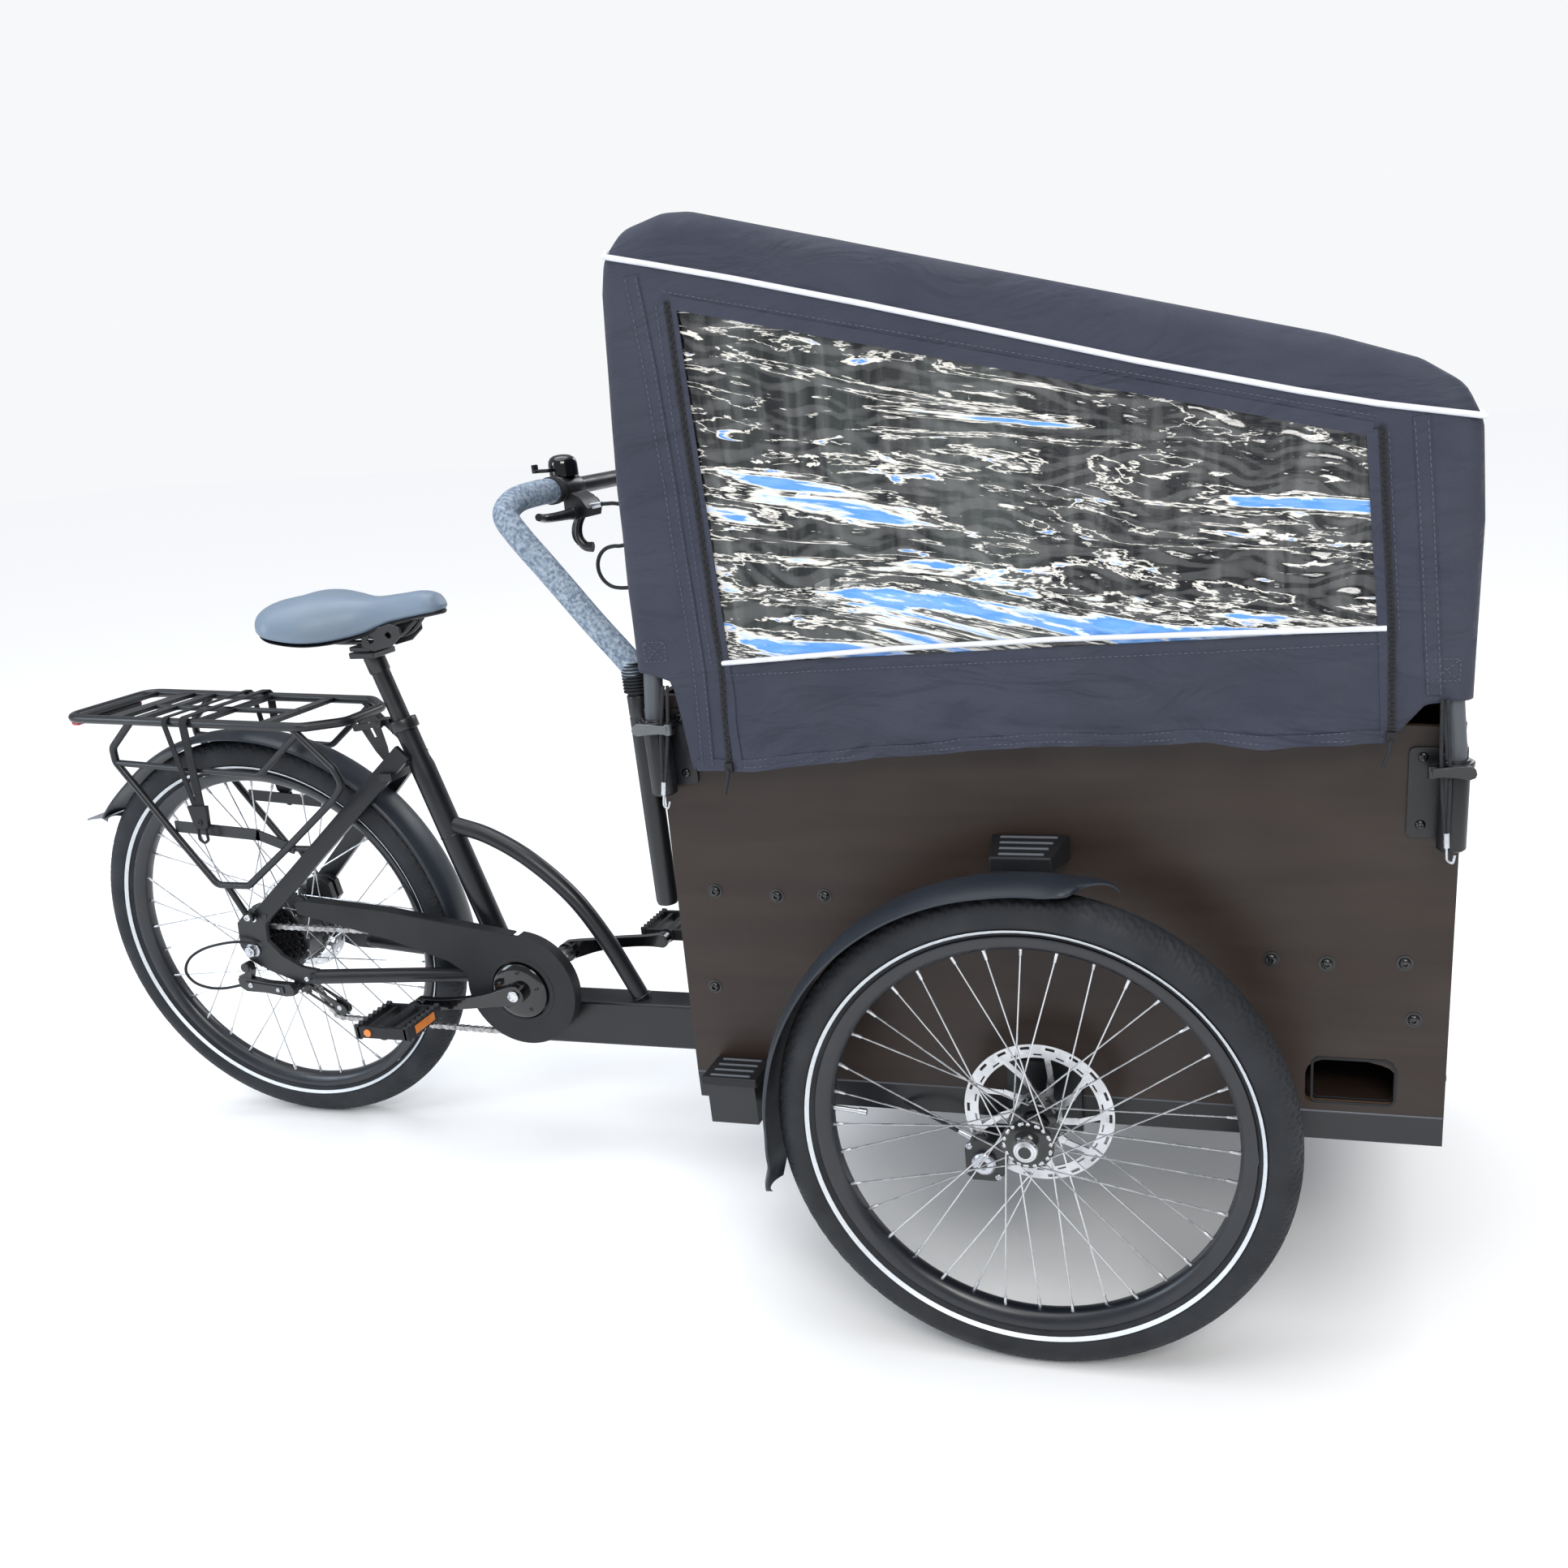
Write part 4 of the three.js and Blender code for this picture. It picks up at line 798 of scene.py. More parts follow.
def front_wheel(side):
    """side is -1 on the right and 1 on the left; the wheel is drawn on the right and turned round."""
    name = "right" if side < 0 else "left"
    body = f"front_wheel_{name}"
    centre = (0.0, -FRONT_TRACK, FRONT_RADIUS)
    placing = Matrix.Identity(4) if side < 0 else Matrix.Rotation(math.pi, 4, "Z")

    def put(shape, piece, *rest, **more):
        Shape().merge(shape, placing).make(f"{piece}_{name}", *rest, **more)

    put(tyre_shape(centre, FRONT_RADIUS, 1280), "front_tyre_skin", ["rubber", "reflective_stripe"], body,
        "tyre",
        (f"front_tyre_{name}",), smooth=50)
    rim = rim_shape(centre, FRONT_RADIUS)
    put(rim, "front_rim_band", "rim", body, "black_alloy", (f"front_rim_{name}",))
    valve_x, valve_z = polar((0, FRONT_RADIUS), FRONT_RADIUS - 68, 175)
    valve = Shape().tube([(valve_x, centre[1], valve_z), (valve_x + 34, centre[1], valve_z - 3)],
                         [3.2, 2.8], 12)
    valve.tube([(valve_x + 30, centre[1], valve_z - 2.6), (valve_x + 40, centre[1], valve_z - 3.6)], 4, 12)
    put(valve, "front_valve", "steel", body, "steel")
    hub = Shape().lathe([
        (12, -30.5), (10.5, -34.5), (0, -35.5)][::-1] + [(13, -28), (13, -25), (16, -22), (20, -20.5),
        (29.5, -18.4), (31, -17), (31, -15.4), (29.5, -14), (20, -12.8), (17.5, -10), (16.5, 0), (17.5, 12),
        (20, 16), (29.5, 18.6), (31, 20), (31, 22.4), (29.5, 23.6), (23, 25.5), (22, 30), (22, 50), (24, 52),
        (24, 55), (9.4, 55), (9.4, 50)], centre, steps=56, closed=False)
    for k in range(18):
        x, z = polar((0, FRONT_RADIUS), 27, k * 20 + 6)
        hub.dome_screw((x, centre[1] - 18.6, z), (0, -1, 0), 2.5, 1)
        hub.dome_screw((x, centre[1] + 23.8, z), (0, 1, 0), 2.5, 1)
    hub.lathe([(7.5, -35.4), (13.2, -33.6), (14.4, -31), (14.4, -28.4), (12.8, -28.4), (12.8, -31),
               (7.5, -33)],
              centre, steps=40, kind=1)
    put(hub, "front_hub_shell", ["gloss_black", "steel"], body, "black_alloy", (f"front_hub_{name}",))
    put(lacing(centre, 27, (-16.6, 21.4), FRONT_RADIUS), "front_spokes", "steel", body, "steel")
    put(slotted_rotor(centre, 90, 54), "front_rotor", ["steel", "black_metal"], body, "steel")


def toothed(shape, centre, teeth, tip, root, low, high, bore=0.0):
    """Adds a sprocket with rounded teeth, drawn as a plate in X and Z."""
    outline = []
    for k in range(teeth * 4):
        reach = (root, tip, tip, root)[k % 4]
        angle = 360.0 * (k + (0.18, 0.08, -0.08, -0.18)[k % 4] * 2) / (teeth * 4)
        outline.append(polar(centre, reach, angle))
    holes = [[polar(centre, bore, -15 * k) for k in range(24)]] if bore else []
    shape.plate(outline, low, high, "xz", holes)


def rear_wheel():
    centre = (REAR_AXLE_X, 0.0, REAR_RADIUS)
    flat = (REAR_AXLE_X, REAR_RADIUS)
    tyre_shape(centre, REAR_RADIUS, 1360).make(
        "rear_tyre_skin", ["rubber", "reflective_stripe"], "rear_wheel", "tyre", ("rear_tyre",), smooth=50)
    rim_shape(centre, REAR_RADIUS).make("rear_rim_band", "rim", "rear_wheel", "black_alloy", ("rear_rim",))
    hub = Shape().lathe([
        (5.6, -60), (14, -60), (16, -58), (16, -31), (22, -30), (50, -28.6), (57, -27.4), (61, -26),
        (62, -24.6), (62, -22.6), (60.5, -21.4), (57.5, -20.4), (57, -19), (57, 19), (57.5, 20.4),
        (60.5, 21.4), (62, 22.6),
        (62, 24.6), (61, 26), (57, 27.4), (50, 28.6), (22, 31), (20, 33), (20, 44), (5.6, 44)],
        centre, steps=80)
    for k in range(8):
        x, z = polar(flat, 40, k * 45 + 20)
        hub.dome_screw((x, 28.8, z), (0, 1, 0), 3.4, 1)
        hub.dome_screw((x, -28.8, z), (0, -1, 0), 3.4, 1)
    hub.make("rear_hub_shell", ["black_metal", "steel"], "rear_wheel", "black_alloy", ("rear_hub",))
    lacing(centre, 60, (-24, 24), REAR_RADIUS).make("rear_spokes", "steel", "rear_wheel", "steel")
    slotted_rotor(centre, 80, 43).make("rear_rotor", ["steel", "black_metal"], "rear_wheel", "steel")
    cogs = Shape()
    for i, teeth in enumerate((28, 24, 21, 18, 16, 14)):
        tip = teeth * CHAIN_PITCH / (2 * math.pi) + 2.6
        low = -34.6 - i * 4.9
        toothed(cogs, flat, teeth, tip, tip - 5.2, low - 1.8, low, 16.6)
        cogs.lathe([(16.6, low - 4.9), (19.5, low - 4.9), (19.5, low - 1.8), (16.6, low - 1.8)], centre,
                   steps=40)
    cogs.make("cassette_cogs", "black_metal", "cassette", "steel", ("cassette",), smooth=30)


# ---------------------------------------------------------------- rear frame
def along_seat(distance):
    return SEAT_FOOT + SEAT_AXIS * distance


def weld(shape, place, axis, radius):
    """A raised weld bead round a joint."""
    ring = []
    for k in range(8):
        angle = 2 * math.pi * k / 8
        ring.append((radius + 2.2 * math.cos(angle), 2.2 * math.sin(angle)))
    shape.lathe(ring, place, axis, 36)


def main_frame():
    shape = Shape()
    top_curve = curve([(-975, 0, 522), (-918, 0, 504), (-855, 0, 467), (-793, 0, 409), (-748, 0, 341),
                       (-714, 0, 272), (-698, 0, 236)])
    shape.tube(top_curve, 13, 20)
    shape.tube([along_seat(0), along_seat(250), along_seat(345), along_seat(358), along_seat(419)],
               [18.5, 18.5, 18.5, 16.4, 16.4], 28)
    shape.tube([SEAT_FOOT, (BB[0], 0, BB[1])], 16, 20)
    shape.lathe([(9.5, -36), (20, -36), (22, -34), (22, 34), (20, 36), (9.5, 36)], (BB[0], 0, BB[1]),
                steps=40)
    weld(shape, (-701, 0, 243), (0.4, 0, -0.9), 14)
    weld(shape, along_seat(231), SEAT_AXIS, 17.2)
    half = Shape()
    half.tube(bend([(-1226, -72, 285.5), (-978, -34, 284), (-880, -26, 280)], 90, 6), 11.8, 20)
    half.plate([(-1330, 396), (-1352, 375), (-1357, 335), (-1345, 311), (-1310, 293), (-1262, 275),
                (-1222, 273), (-1222, 298), (-1250, 302), (-1283, 321), (-1303, 345), (-1300, 372),
                (-1292, 392)], -75.8, -68.2, "xz",
               [[polar((REAR_AXLE_X, REAR_RADIUS), 5.3, -20 * k) for k in range(18)]])
    half.tube([(-1222, -72, 285.6), (-1236, -72, 285.6)], [11.8, 7.5], 20)
    half.bar((-1306, -71.6, 386), (-1024, -22.4, 644), 9, 27)
    half.dome_screw((-1318, -76, 383), (0, -1, 0), 5.5, 1)
    half.dome_screw((-1238, -84, 286), (0, -1, 0), 4.2, 1)
    shape.merge(half.mirrored())
    shape.block((-1062, -1040), (-40, 40), (603, 615))
    shape.make("rear_frame_tubes", ["frame_paint", "steel"], "rear_frame", "frame_paint", ("main_frame",),
               1.2)
    beam = Shape()
    beam.block((-885, -205), (-26, 26), (168, 242))
    beam.block((-845, -885), (24, -24), (240, 270))
    beam.block((-205, -112), (-38, 38), (200, 242))
    beam.lathe([(0, 240), (15, 240), (15, 298), (0, 298)], (-150, 0, 0), (0, 0, 1), 32)
    beam.make("rear_frame_beam", "frame_paint", "rear_frame", "frame_paint", (), 4, segments=3)


def fender_shape(centre, stops, y, half, crown=9.0, samples=64, tip=18, slant=0.0):
    """A crowned mudguard with rolled edges; stops are (degrees, radius), both ends are rounded, and slant
    is how many degrees the first end is cut back on its outer side."""
    shape = Shape()
    angles = [s[0] for s in stops]

    def radius_at(angle):
        for (a0, r0), (a1, r1) in zip(stops, stops[1:]):
            if a0 <= angle <= a1:
                t = (angle - a0) / (a1 - a0)
                t = t * t * (3 - 2 * t)
                return r0 + (r1 - r0) * t
        return stops[-1][1]

    widths = 16
    for skin, flip in ((0.0, False), (-2.6, True)):
        points, faces = [], []
        for i in range(samples + 1):
            angle = angles[0] + (angles[-1] - angles[0]) * i / samples
            reach = radius_at(angle)
            ends = min(i, samples - i) / samples * (angles[-1] - angles[0]) / tip * 3.2
            narrow = math.sqrt(max(0.0, 1 - max(0.0, 1 - ends) ** 2)) * 0.5 + 0.5 if ends < 1 else 1.0
            for k in range(widths + 1):
                s = -1 + 2 * k / widths
                rise = crown * (1 - abs(s) ** 2.4) - crown + 4 + skin
                cut = slant * (1 - s) / 2 * max(0.0, 1 - 4 * i / samples)
                x, z = polar(centre, reach + rise, angle + cut)
                points.append((x, y + s * half * narrow, z))
        for i in range(samples):
            for k in range(widths):
                a = i * (widths + 1) + k
                face = (a, a + 1, a + widths + 2, a + widths + 1)
                faces.append(face[::-1] if flip else face)
        shape.add(points, faces)
    row = widths + 1
    count = row * (samples + 1)
    rim = [i * row for i in range(samples + 1)]
    rim += [samples * row + k for k in range(1, widths + 1)]
    rim += [i * row + widths for i in range(samples - 1, -1, -1)]
    rim += list(range(widths - 1, 0, -1))
    for a, b in zip(rim, rim[1:] + rim[:1]):
        shape.faces.append((b, a, count + a, count + b))
        shape.kinds.append(0)
    return shape


def rear_fender():
    centre = (REAR_AXLE_X, REAR_RADIUS)
    shape = fender_shape(centre, [(0, 341), (20, 341), (60, 341), (100, 341), (128, 341), (146, 349)],
                         0, 30, 8, 72, 9)
    x, z = polar(centre, 342, 143)
    tip = Shape().plate([(-26, 0), (26, 0), (26, 34), (20, 40), (-20, 40), (-26, 34)], -0.8, 0.8, "yz",
                        kind=1)
    shape.merge(tip, Matrix.Translation((x - 6, 0, z - 4)) @ Matrix.Rotation(math.radians(-96), 4, "Y"))
    shape.make("rear_mudguard", ["fender", "alloy"], "rear_frame", "fender", ("rear_fender",), smooth=60)


def rack_height(x):
    return 712 - 0.0375 * (x + 1470)


def rear_rack():
    side = 85
    half = Shape()
    half.tube(bend([(-1446, -side, 709), (-1492, -side, 668), (-1493, -side, 645), (-1427, -side, 542),
                    (-1361, -side, 444), (-1303, -side, 444), (-1219, -side, 506), (-1113, -side, 588),
                    (-1092, -side, 612), (-1101, -side, 637), (-1158, -side, 698)], 16, 5), 5.5, 14)
    half.tube(bend([(-1490, -side, 644), (-1369, -side, 635), (-1235, -side, 625), (-1150, -side, 690)], 20,
                   5),
              5, 12)
    half.tube([(-1345, -side, 446), (-1320, -side, 392)], 5, 12)
    half.lathe([(0, -3), (9, -3), (9, 3), (0, 3)], (-1319, -side + 1, 390), steps=24)
    half.dome_screw((-1319, -side - 2, 390), (0, -1, 0), 6, 1)
    half.bar((-1415, -side + 3, 540), (-1262, -side + 3, 528), 3, 18)
    half.bar((-1268, -side + 3, 529), (-1205, -side + 3, 506), 3, 16)
    shape = Shape().merge(half.mirrored())
    rail = [(-1564, 0), (-1564, -side), (-1140, -side), (-1095, -45), (-1095, 45), (-1140, side),
            (-1564, side), (-1564, 0)]
    shape.tube(bend([(x, y, rack_height(x)) for x, y in rail], 26, 6), 7, 14)
    for x, wide in ((-1548, 5), (-1485, 14), (-1440, 9), (-1330, 8), (-1215, 9)):
        z = rack_height(x)
        shape.block((x - wide, x + wide), (-side, side), (z - 3, z + 3))
    shape.tube([(-1480, 0, rack_height(-1480)), (-1210, 0, rack_height(-1210))], 4.5, 12)
    tongue = [(-20, 696), (20, 696), (20, 676), (13, 640), (6, 622), (-6, 622), (-13, 640), (-20, 676)]
    slot = [(-4, 660), (-4, 684), (4, 684), (4, 660)]
    plate = Shape().plate(tongue, -1.5, 1.5, "yz", [slot[::-1]])
    lean = Matrix.Translation((-1095, 0, 698)) @ Matrix.Rotation(math.radians(-18.2), 4, "Y")
    shape.merge(plate, lean @ Matrix.Translation((0, 0, -698)))
    shape.make("rear_carrier", ["frame_paint", "steel"], "rear_frame", "frame_paint", ("rear_rack",), 1.2)


def strap():
    """Two ribbed bands over the platform that meet in a buckle on each side."""
    z = rack_height(-1350)
    shape = Shape()
    for top, foot, width in ((-1340, -1348, 14), (-1374, -1358, 9)):
        over = [(foot, -93, 574), (top, -96, z + 2), (top, -90, z + 9.6), (top, 90, z + 9.6),
                (top, 96, z + 2),
                (foot, 93, 574)]
        shape.strip(bend(over, 7, 5), width, 2.2, (1, 0, 0))
    for sign in (-1, 1):
        buckle = [(-1370, 578), (-1336, 578), (-1340, 546), (-1348, 538), (-1358, 538), (-1366, 546)]
        shape.plate(buckle, sign * 90, sign * 97, kind=1)
        shape.tube(bend([(-1360, sign * 97, 541), (-1361, sign * 97, 524), (-1353, sign * 97, 518),
                         (-1345, sign * 97, 524), (-1346, sign * 97, 541)], 5, 4), 2.2, 10, 1)
        shape.dome_screw((-1353, sign * 97, 552), (0, sign, 0), 4.4, 1)
    shape.make("luggage_strap", ["webbing", "black_plastic"], "rear_frame", "webbing", ("rack_strap",), 0.5)


PULLEYS = ((-1270, 262), (-1208, 226))


def chain_line():
    """The chain's joints, a link apart, round the chainring, a cog and the two pulleys."""
    stops = [(*BB, 81.3, 1), (REAR_AXLE_X, REAR_RADIUS, 34.1, 1), (*PULLEYS[0], 20, -1), (*PULLEYS[1], 20, 1)]
    spans = []
    for i, (x, z, radius, turn) in enumerate(stops):
        x1, z1, radius1, turn1 = stops[(i + 1) % len(stops)]
        gap = math.hypot(x1 - x, z1 - z)
        offset = turn1 * radius1 - turn * radius
        spans.append(math.atan2(z1 - z, x1 - x) - math.atan2(offset, math.sqrt(gap * gap - offset * offset)))
    line = []
    for i, (x, z, radius, turn) in enumerate(stops):
        start = spans[i - 1] - turn * math.pi / 2
        end = spans[i] - turn * math.pi / 2
        while turn > 0 and end < start:
            end += 2 * math.pi
        while turn < 0 and end > start:
            end -= 2 * math.pi
        count = max(2, int(abs(end - start) * radius / 2))
        for k in range(count + 1):
            angle = start + (end - start) * k / count
            line.append(Vector((x + radius * math.cos(angle), CHAIN_Y, z + radius * math.sin(angle))))
    line.append(line[0])
    total = sum((b - a).length for a, b in zip(line, line[1:]))
    links = 2 * round(total / CHAIN_PITCH / 2)
    pitch = total / links
    found, walked, target = [], 0.0, 0.0
    for a, b in zip(line, line[1:]):
        length = (b - a).length
        while target <= walked + length + 1e-6 and len(found) < links:
            found.append(a.lerp(b, (target - walked) / length if length else 0))
            target += pitch
        walked += length
    return found


def chain():
    joints = chain_line()
    shape = Shape()
    for i, a in enumerate(joints):
        b = joints[(i + 1) % len(joints)]
        ahead = (b - a).normalized()
        up = Vector((-ahead.z, 0, ahead.x))
        outline = []
        for centre, start in ((a, 90), (b, -90)):
            for k in range(7):
                angle = math.radians(start + 30 * k)
                reach = ahead * math.cos(angle) + up * math.sin(angle)
                outline.append(centre + reach * 4.1)
        waist = (a + b) / 2
        flat = [(p.x, p.z) for p in outline[:7]] + [(waist.x - up.x * 3, waist.z - up.z * 3)]
        flat += [(p.x, p.z) for p in outline[7:]] + [(waist.x + up.x * 3, waist.z + up.z * 3)]
        near = 1.9 if i % 2 else 2.8
        for sign in (-1, 1):
            shape.plate(flat, CHAIN_Y + sign * near, CHAIN_Y + sign * (near + 0.9))
        shape.lathe([(0, -3.9), (1.7, -3.9), (1.7, -1.8), (3.7, -1.8), (3.7, 1.8), (1.7, 1.8), (1.7, 3.9),
                     (0, 3.9)], (a.x, CHAIN_Y, a.z), steps=10, closed=False)
    shape.make("chain_links", "chain", "rear_frame", "steel", ("chain",), smooth=35)


def chain_guard():
    """A guard with a long arm over the chain and a ring round the chainring, open in the middle."""
    def outline(margin):
        corners = [(-868, BB[1] + 90 - margin), (-1080, 401 - margin), (-1225, 414 - margin)]
        corners += [polar((-1232 + margin, 404), 10, a) for a in (80, 110, 140, 170, 200)]
        corners += [(-1240 + margin, 392 + margin), (-1078, 353 + margin), (-985, 322 + margin)]
        corners += [polar(BB, 91 - margin, a) for a in range(165, 445, 6)]
        return corners

    hole = [polar(BB, 48, -6 * k) for k in range(60)]
    shape = Shape().plate(outline(0), -69, -66, "xz", [hole])
    inner = [polar(BB, 87.6, a) for a in range(276, 446, 6)]
    outer = [polar(BB, 90.8, a) for a in range(276, 446, 6)]
    shape.plate(outer + inner[::-1], -66.2, -48.2)
    shape.plate([(-868, 368.5), (-1080, 401), (-1225, 413.8), (-1225, 411), (-1080, 398), (-868, 365.6)],
                -66.2, -48.2)
    shape.lathe([(47.6, -69.5), (52, -70.4), (56, -69.5), (56, -68.6), (47.6, -68.6)], (BB[0], 0, BB[1]),
                steps=80)
    shape.make("chain_guard_shell", "black_plastic", "rear_frame", "black_plastic", ("chain_guard",), 1.2)


def derailleur():
    y = CHAIN_Y
    shape = Shape()
    shape.lathe([(0, -92), (6.5, -92), (8, -90.5), (8, -76.6), (0, -76.6)], (-1345, 0, 303), steps=28)
    shape.plate([(-1362, 288), (-1350, 292), (-1338, 306), (-1332, 300), (-1338, 286), (-1346, 268),
                 (-1360, 266)], -90, -80)
    shape.plate([(-1364, 284), (-1352, 287), (-1310, 279), (-1268, 277), (-1262, 268), (-1264, 258),
                 (-1280, 256), (-1316, 261), (-1352, 262), (-1364, 270)], -90.5, -79)
    shape.plate([(-1350, 280), (-1280, 273), (-1280, 262), (-1350, 267)], -92.5, -90.5)
    shape.dome_screw((-1340, -92.5, 274), (0, -1, 0), 4.5, 1)
    shape.dome_screw((-1290, -92.5, 268), (0, -1, 0), 3.6, 1)
    shape.lathe([(0, -89), (6, -89), (8, -87), (8, -60), (0, -60)], (-1272, 0, 266), steps=28)
    for low, high, kind in ((y - 7.2, y - 4.8, 0), (y + 4.8, y + 7.2, 0)):
        cage = [polar((-1274, 268), 9, a) for a in range(40, 241, 20)]
        cage += [polar((-1204, 222), 9, a) for a in range(220, 421, 20)]
        slot = [(-1262, 254), (-1216, 224), (-1222, 238), (-1252, 260)]
        shape.plate(cage, low, high, "xz", [slot[::-1]], kind)
    for x, z in PULLEYS:
        toothed(shape, (x, z), 11, 17.4, 13.6, y - 1.3, y + 1.3)
        shape.lathe([(0, -7.4), (4.4, -7.4), (4.4, 7.4), (0, 7.4)], (x, y, z), steps=20, kind=1, closed=False)
    shape.make("derailleur_body", ["black_metal", "alloy"], "rear_frame", "black_alloy", ("derailleur",), 0.8)


def rear_small_parts():
    axle = Shape()
    axle.tube([(REAR_AXLE_X, -90, REAR_RADIUS), (REAR_AXLE_X, 90, REAR_RADIUS)], 4.9, 20)
    for sign in (-1, 1):
        nut = [polar((REAR_AXLE_X, REAR_RADIUS), 9.6, 60 * k + 15) for k in range(6)]
        axle.plate(nut, sign * 79, sign * 87, kind=0)
        axle.lathe([(5, 76.4), (12.5, 76.4), (12.5, 78), (10, 79.4), (5, 79.4)],
                   (REAR_AXLE_X, 0, REAR_RADIUS),
                   (0, sign, 0), 36)
    axle.make("rear_axle_nuts", "alloy", "rear_frame", "alloy", ("rear_axle",), 0.8)
    light = Shape()
    light.block((-1580, -1566), (-66, 66), (698, 711))
    light.block((-1566, -1552), (-50, 50), (699, 711), 1)
    light.make("tail_lens", ["red_lens", "black_plastic"], "rear_frame", "red_lens", ("tail_light",), 3.5,
               segments=3)
    low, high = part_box("rear_caliper")
    caliper = Shape()
    x0, x1 = ((v - FRONT_AXLE_X) * 1000 for v in (low.x, high.x))
    z0, z1 = low.z * 1000, high.z * 1000
    for y0, y1 in ((30, 40.2), (45.9, 57)):
        caliper.plate([(x0 + 16, z0 + 2), (x1 - 12, z0), (x1, z0 + 12), (x1 - 4, z1 - 8), (x1 - 16, z1),
                       (x0 + 20, z1 - 2), (x0 + 12, z0 + 20)], y0, y1)
    caliper.block((x0 + 18, x1 - 14), (38, 48), (z1 - 14, z1 - 2))
    caliper.plate([(x0, 368), (x0 + 20, 368), (x0 + 20, 384), (x0, 384)], 46, 57)
    caliper.dome_screw((x0 + 8, 57, 376), (0, 1, 0), 4.5, 1)
    caliper.dome_screw((x1 - 14, 57, z1 - 18), (0, 1, 0), 4.5, 1)
    caliper.lathe([(0, 0), (11, 0), (11, 4), (8, 6), (0, 6)], ((x0 + x1) / 2 + 4, 56, (z0 + z1) / 2),
                  (0, 1, 0), 32, 1, False)
    caliper.make("rear_caliper_body", ["black_metal", "alloy"], "rear_frame", "black_alloy",
                 ("rear_caliper",), 1.5)


# ---------------------------------------------------------------- seat
def seat_parts():
    collar = Shape()
    collar.lathe([(16.9, 405), (20.6, 405), (21.2, 406.5), (21.2, 420.5), (20.6, 422), (14.3, 422),
                  (14.3, 419.4), (16.9, 419.4)], SEAT_FOOT, SEAT_AXIS, 48)
    collar.block((-1068, -1048), (-9, -1.2), (681, 692))
    collar.block((-1068, -1048), (1.2, 9), (681, 692))
    collar.make("seat_collar", "black_metal", "rear_frame", "black_alloy", ("seat_clamp",), 0.8)
    post = Shape()
    top = along_seat(530)
    post.tube([along_seat(170), along_seat(526)], 13.5, 28)
    post.lathe([(13.5, -34), (15.5, -30), (15.5, -6), (13.5, -4)], top, SEAT_AXIS, 28)
    post.block((top.x - 20, top.x + 22), (-27, 27), (top.z - 6, top.z + 3))
    post.block((top.x - 17, top.x + 19), (-27, 27), (top.z + 5, top.z + 12), 0)
    cheek = [(-1054, 806), (-1050, 829), (-1000, 840), (-984, 834), (-984, 822), (-1004, 806), (-1034, 799)]
    holes = [[polar(spot, 5, -30 * k) for k in range(12)] for spot in ((-1037, 817), (-1006, 823))]
    for sign in (-1, 1):
        post.tube([(top.x + 1, sign * 11, top.z - 10), (top.x + 1, sign * 11, top.z + 14)], 3, 12, 1)
        post.plate(cheek, sign * 24, sign * 28, "xz", holes)
    post.make("seat_post_tube", ["black_metal", "steel"], "seat", "black_alloy", ("seat_post",), 1.5)
    rails = Shape()
    for sign in (-1, 1):
        rails.tube(curve([(-1178, sign * 40, 836), (-1140, sign * 30, 822), (-1100, sign * 22, 813.6),
                          (-1060, sign * 21, 812.6), (-1020, sign * 20, 814), (-990, sign * 14, 824),
                          (-968, sign * 8, 842)]), 3.5, 12)
    rails.make("saddle_rails", "black_metal", "seat", "black_alloy")
    lever = Shape()
    lever.lathe([(0, -6), (4.6, -6), (5, -5.4), (5, 5.4), (4.6, 6), (0, 6)], (-1061, -15.8, 686.5), (0, 0, 1),
                24, closed=False)
    lever.strip(curve([(-1061, -17.5, 686.5), (-1070, -22, 686.2), (-1082, -25.5, 684.8),
                       (-1098, -27.6, 683)],
                      5), [8, 7.6, 7.4, 7.4, 7.6, 8, 8.4, 8.8, 9.2, 9.6, 10, 10.4, 10.8, 11, 10.6, 9], 3.4)
    lever.make("seat_quick_lever", "black_metal", "seat_lever", "black_alloy", ("seat_lever",), 0.8)
    saddle()


SADDLE_TAIL = -1211.0
SADDLE_LENGTH = 290.0


def saddle_half_width(x):
    """Half the saddle's width, from the rounded tail to the slim nose."""
    t = (x - SADDLE_TAIL) / SADDLE_LENGTH
    if t <= 0 or t >= 1:
        return 0.0
    tail = math.sqrt(max(0.0, 1 - (1 - min(t / 0.2, 1)) ** 2))
    nose = math.sqrt(max(0.0, 1 - (1 - min((1 - t) / 0.09, 1)) ** 2))
    blend = 1 / (1 + math.exp((t - 0.47) * 13))
    return (24 + (98 - 24) * blend) * tail * nose


def smooth_line(stops):
    """A function of t whose smooth curve passes through the (t, value) stops."""
    line = curve([(t * 1000, 0, value) for t, value in stops], 10)

    def value_at(t):
        for a, b in zip(line, line[1:]):
            if t * 1000 <= b.x:
                return a.z + (b.z - a.z) * (t * 1000 - a.x) / max(b.x - a.x, 1e-9)
        return line[-1].z

    return value_at


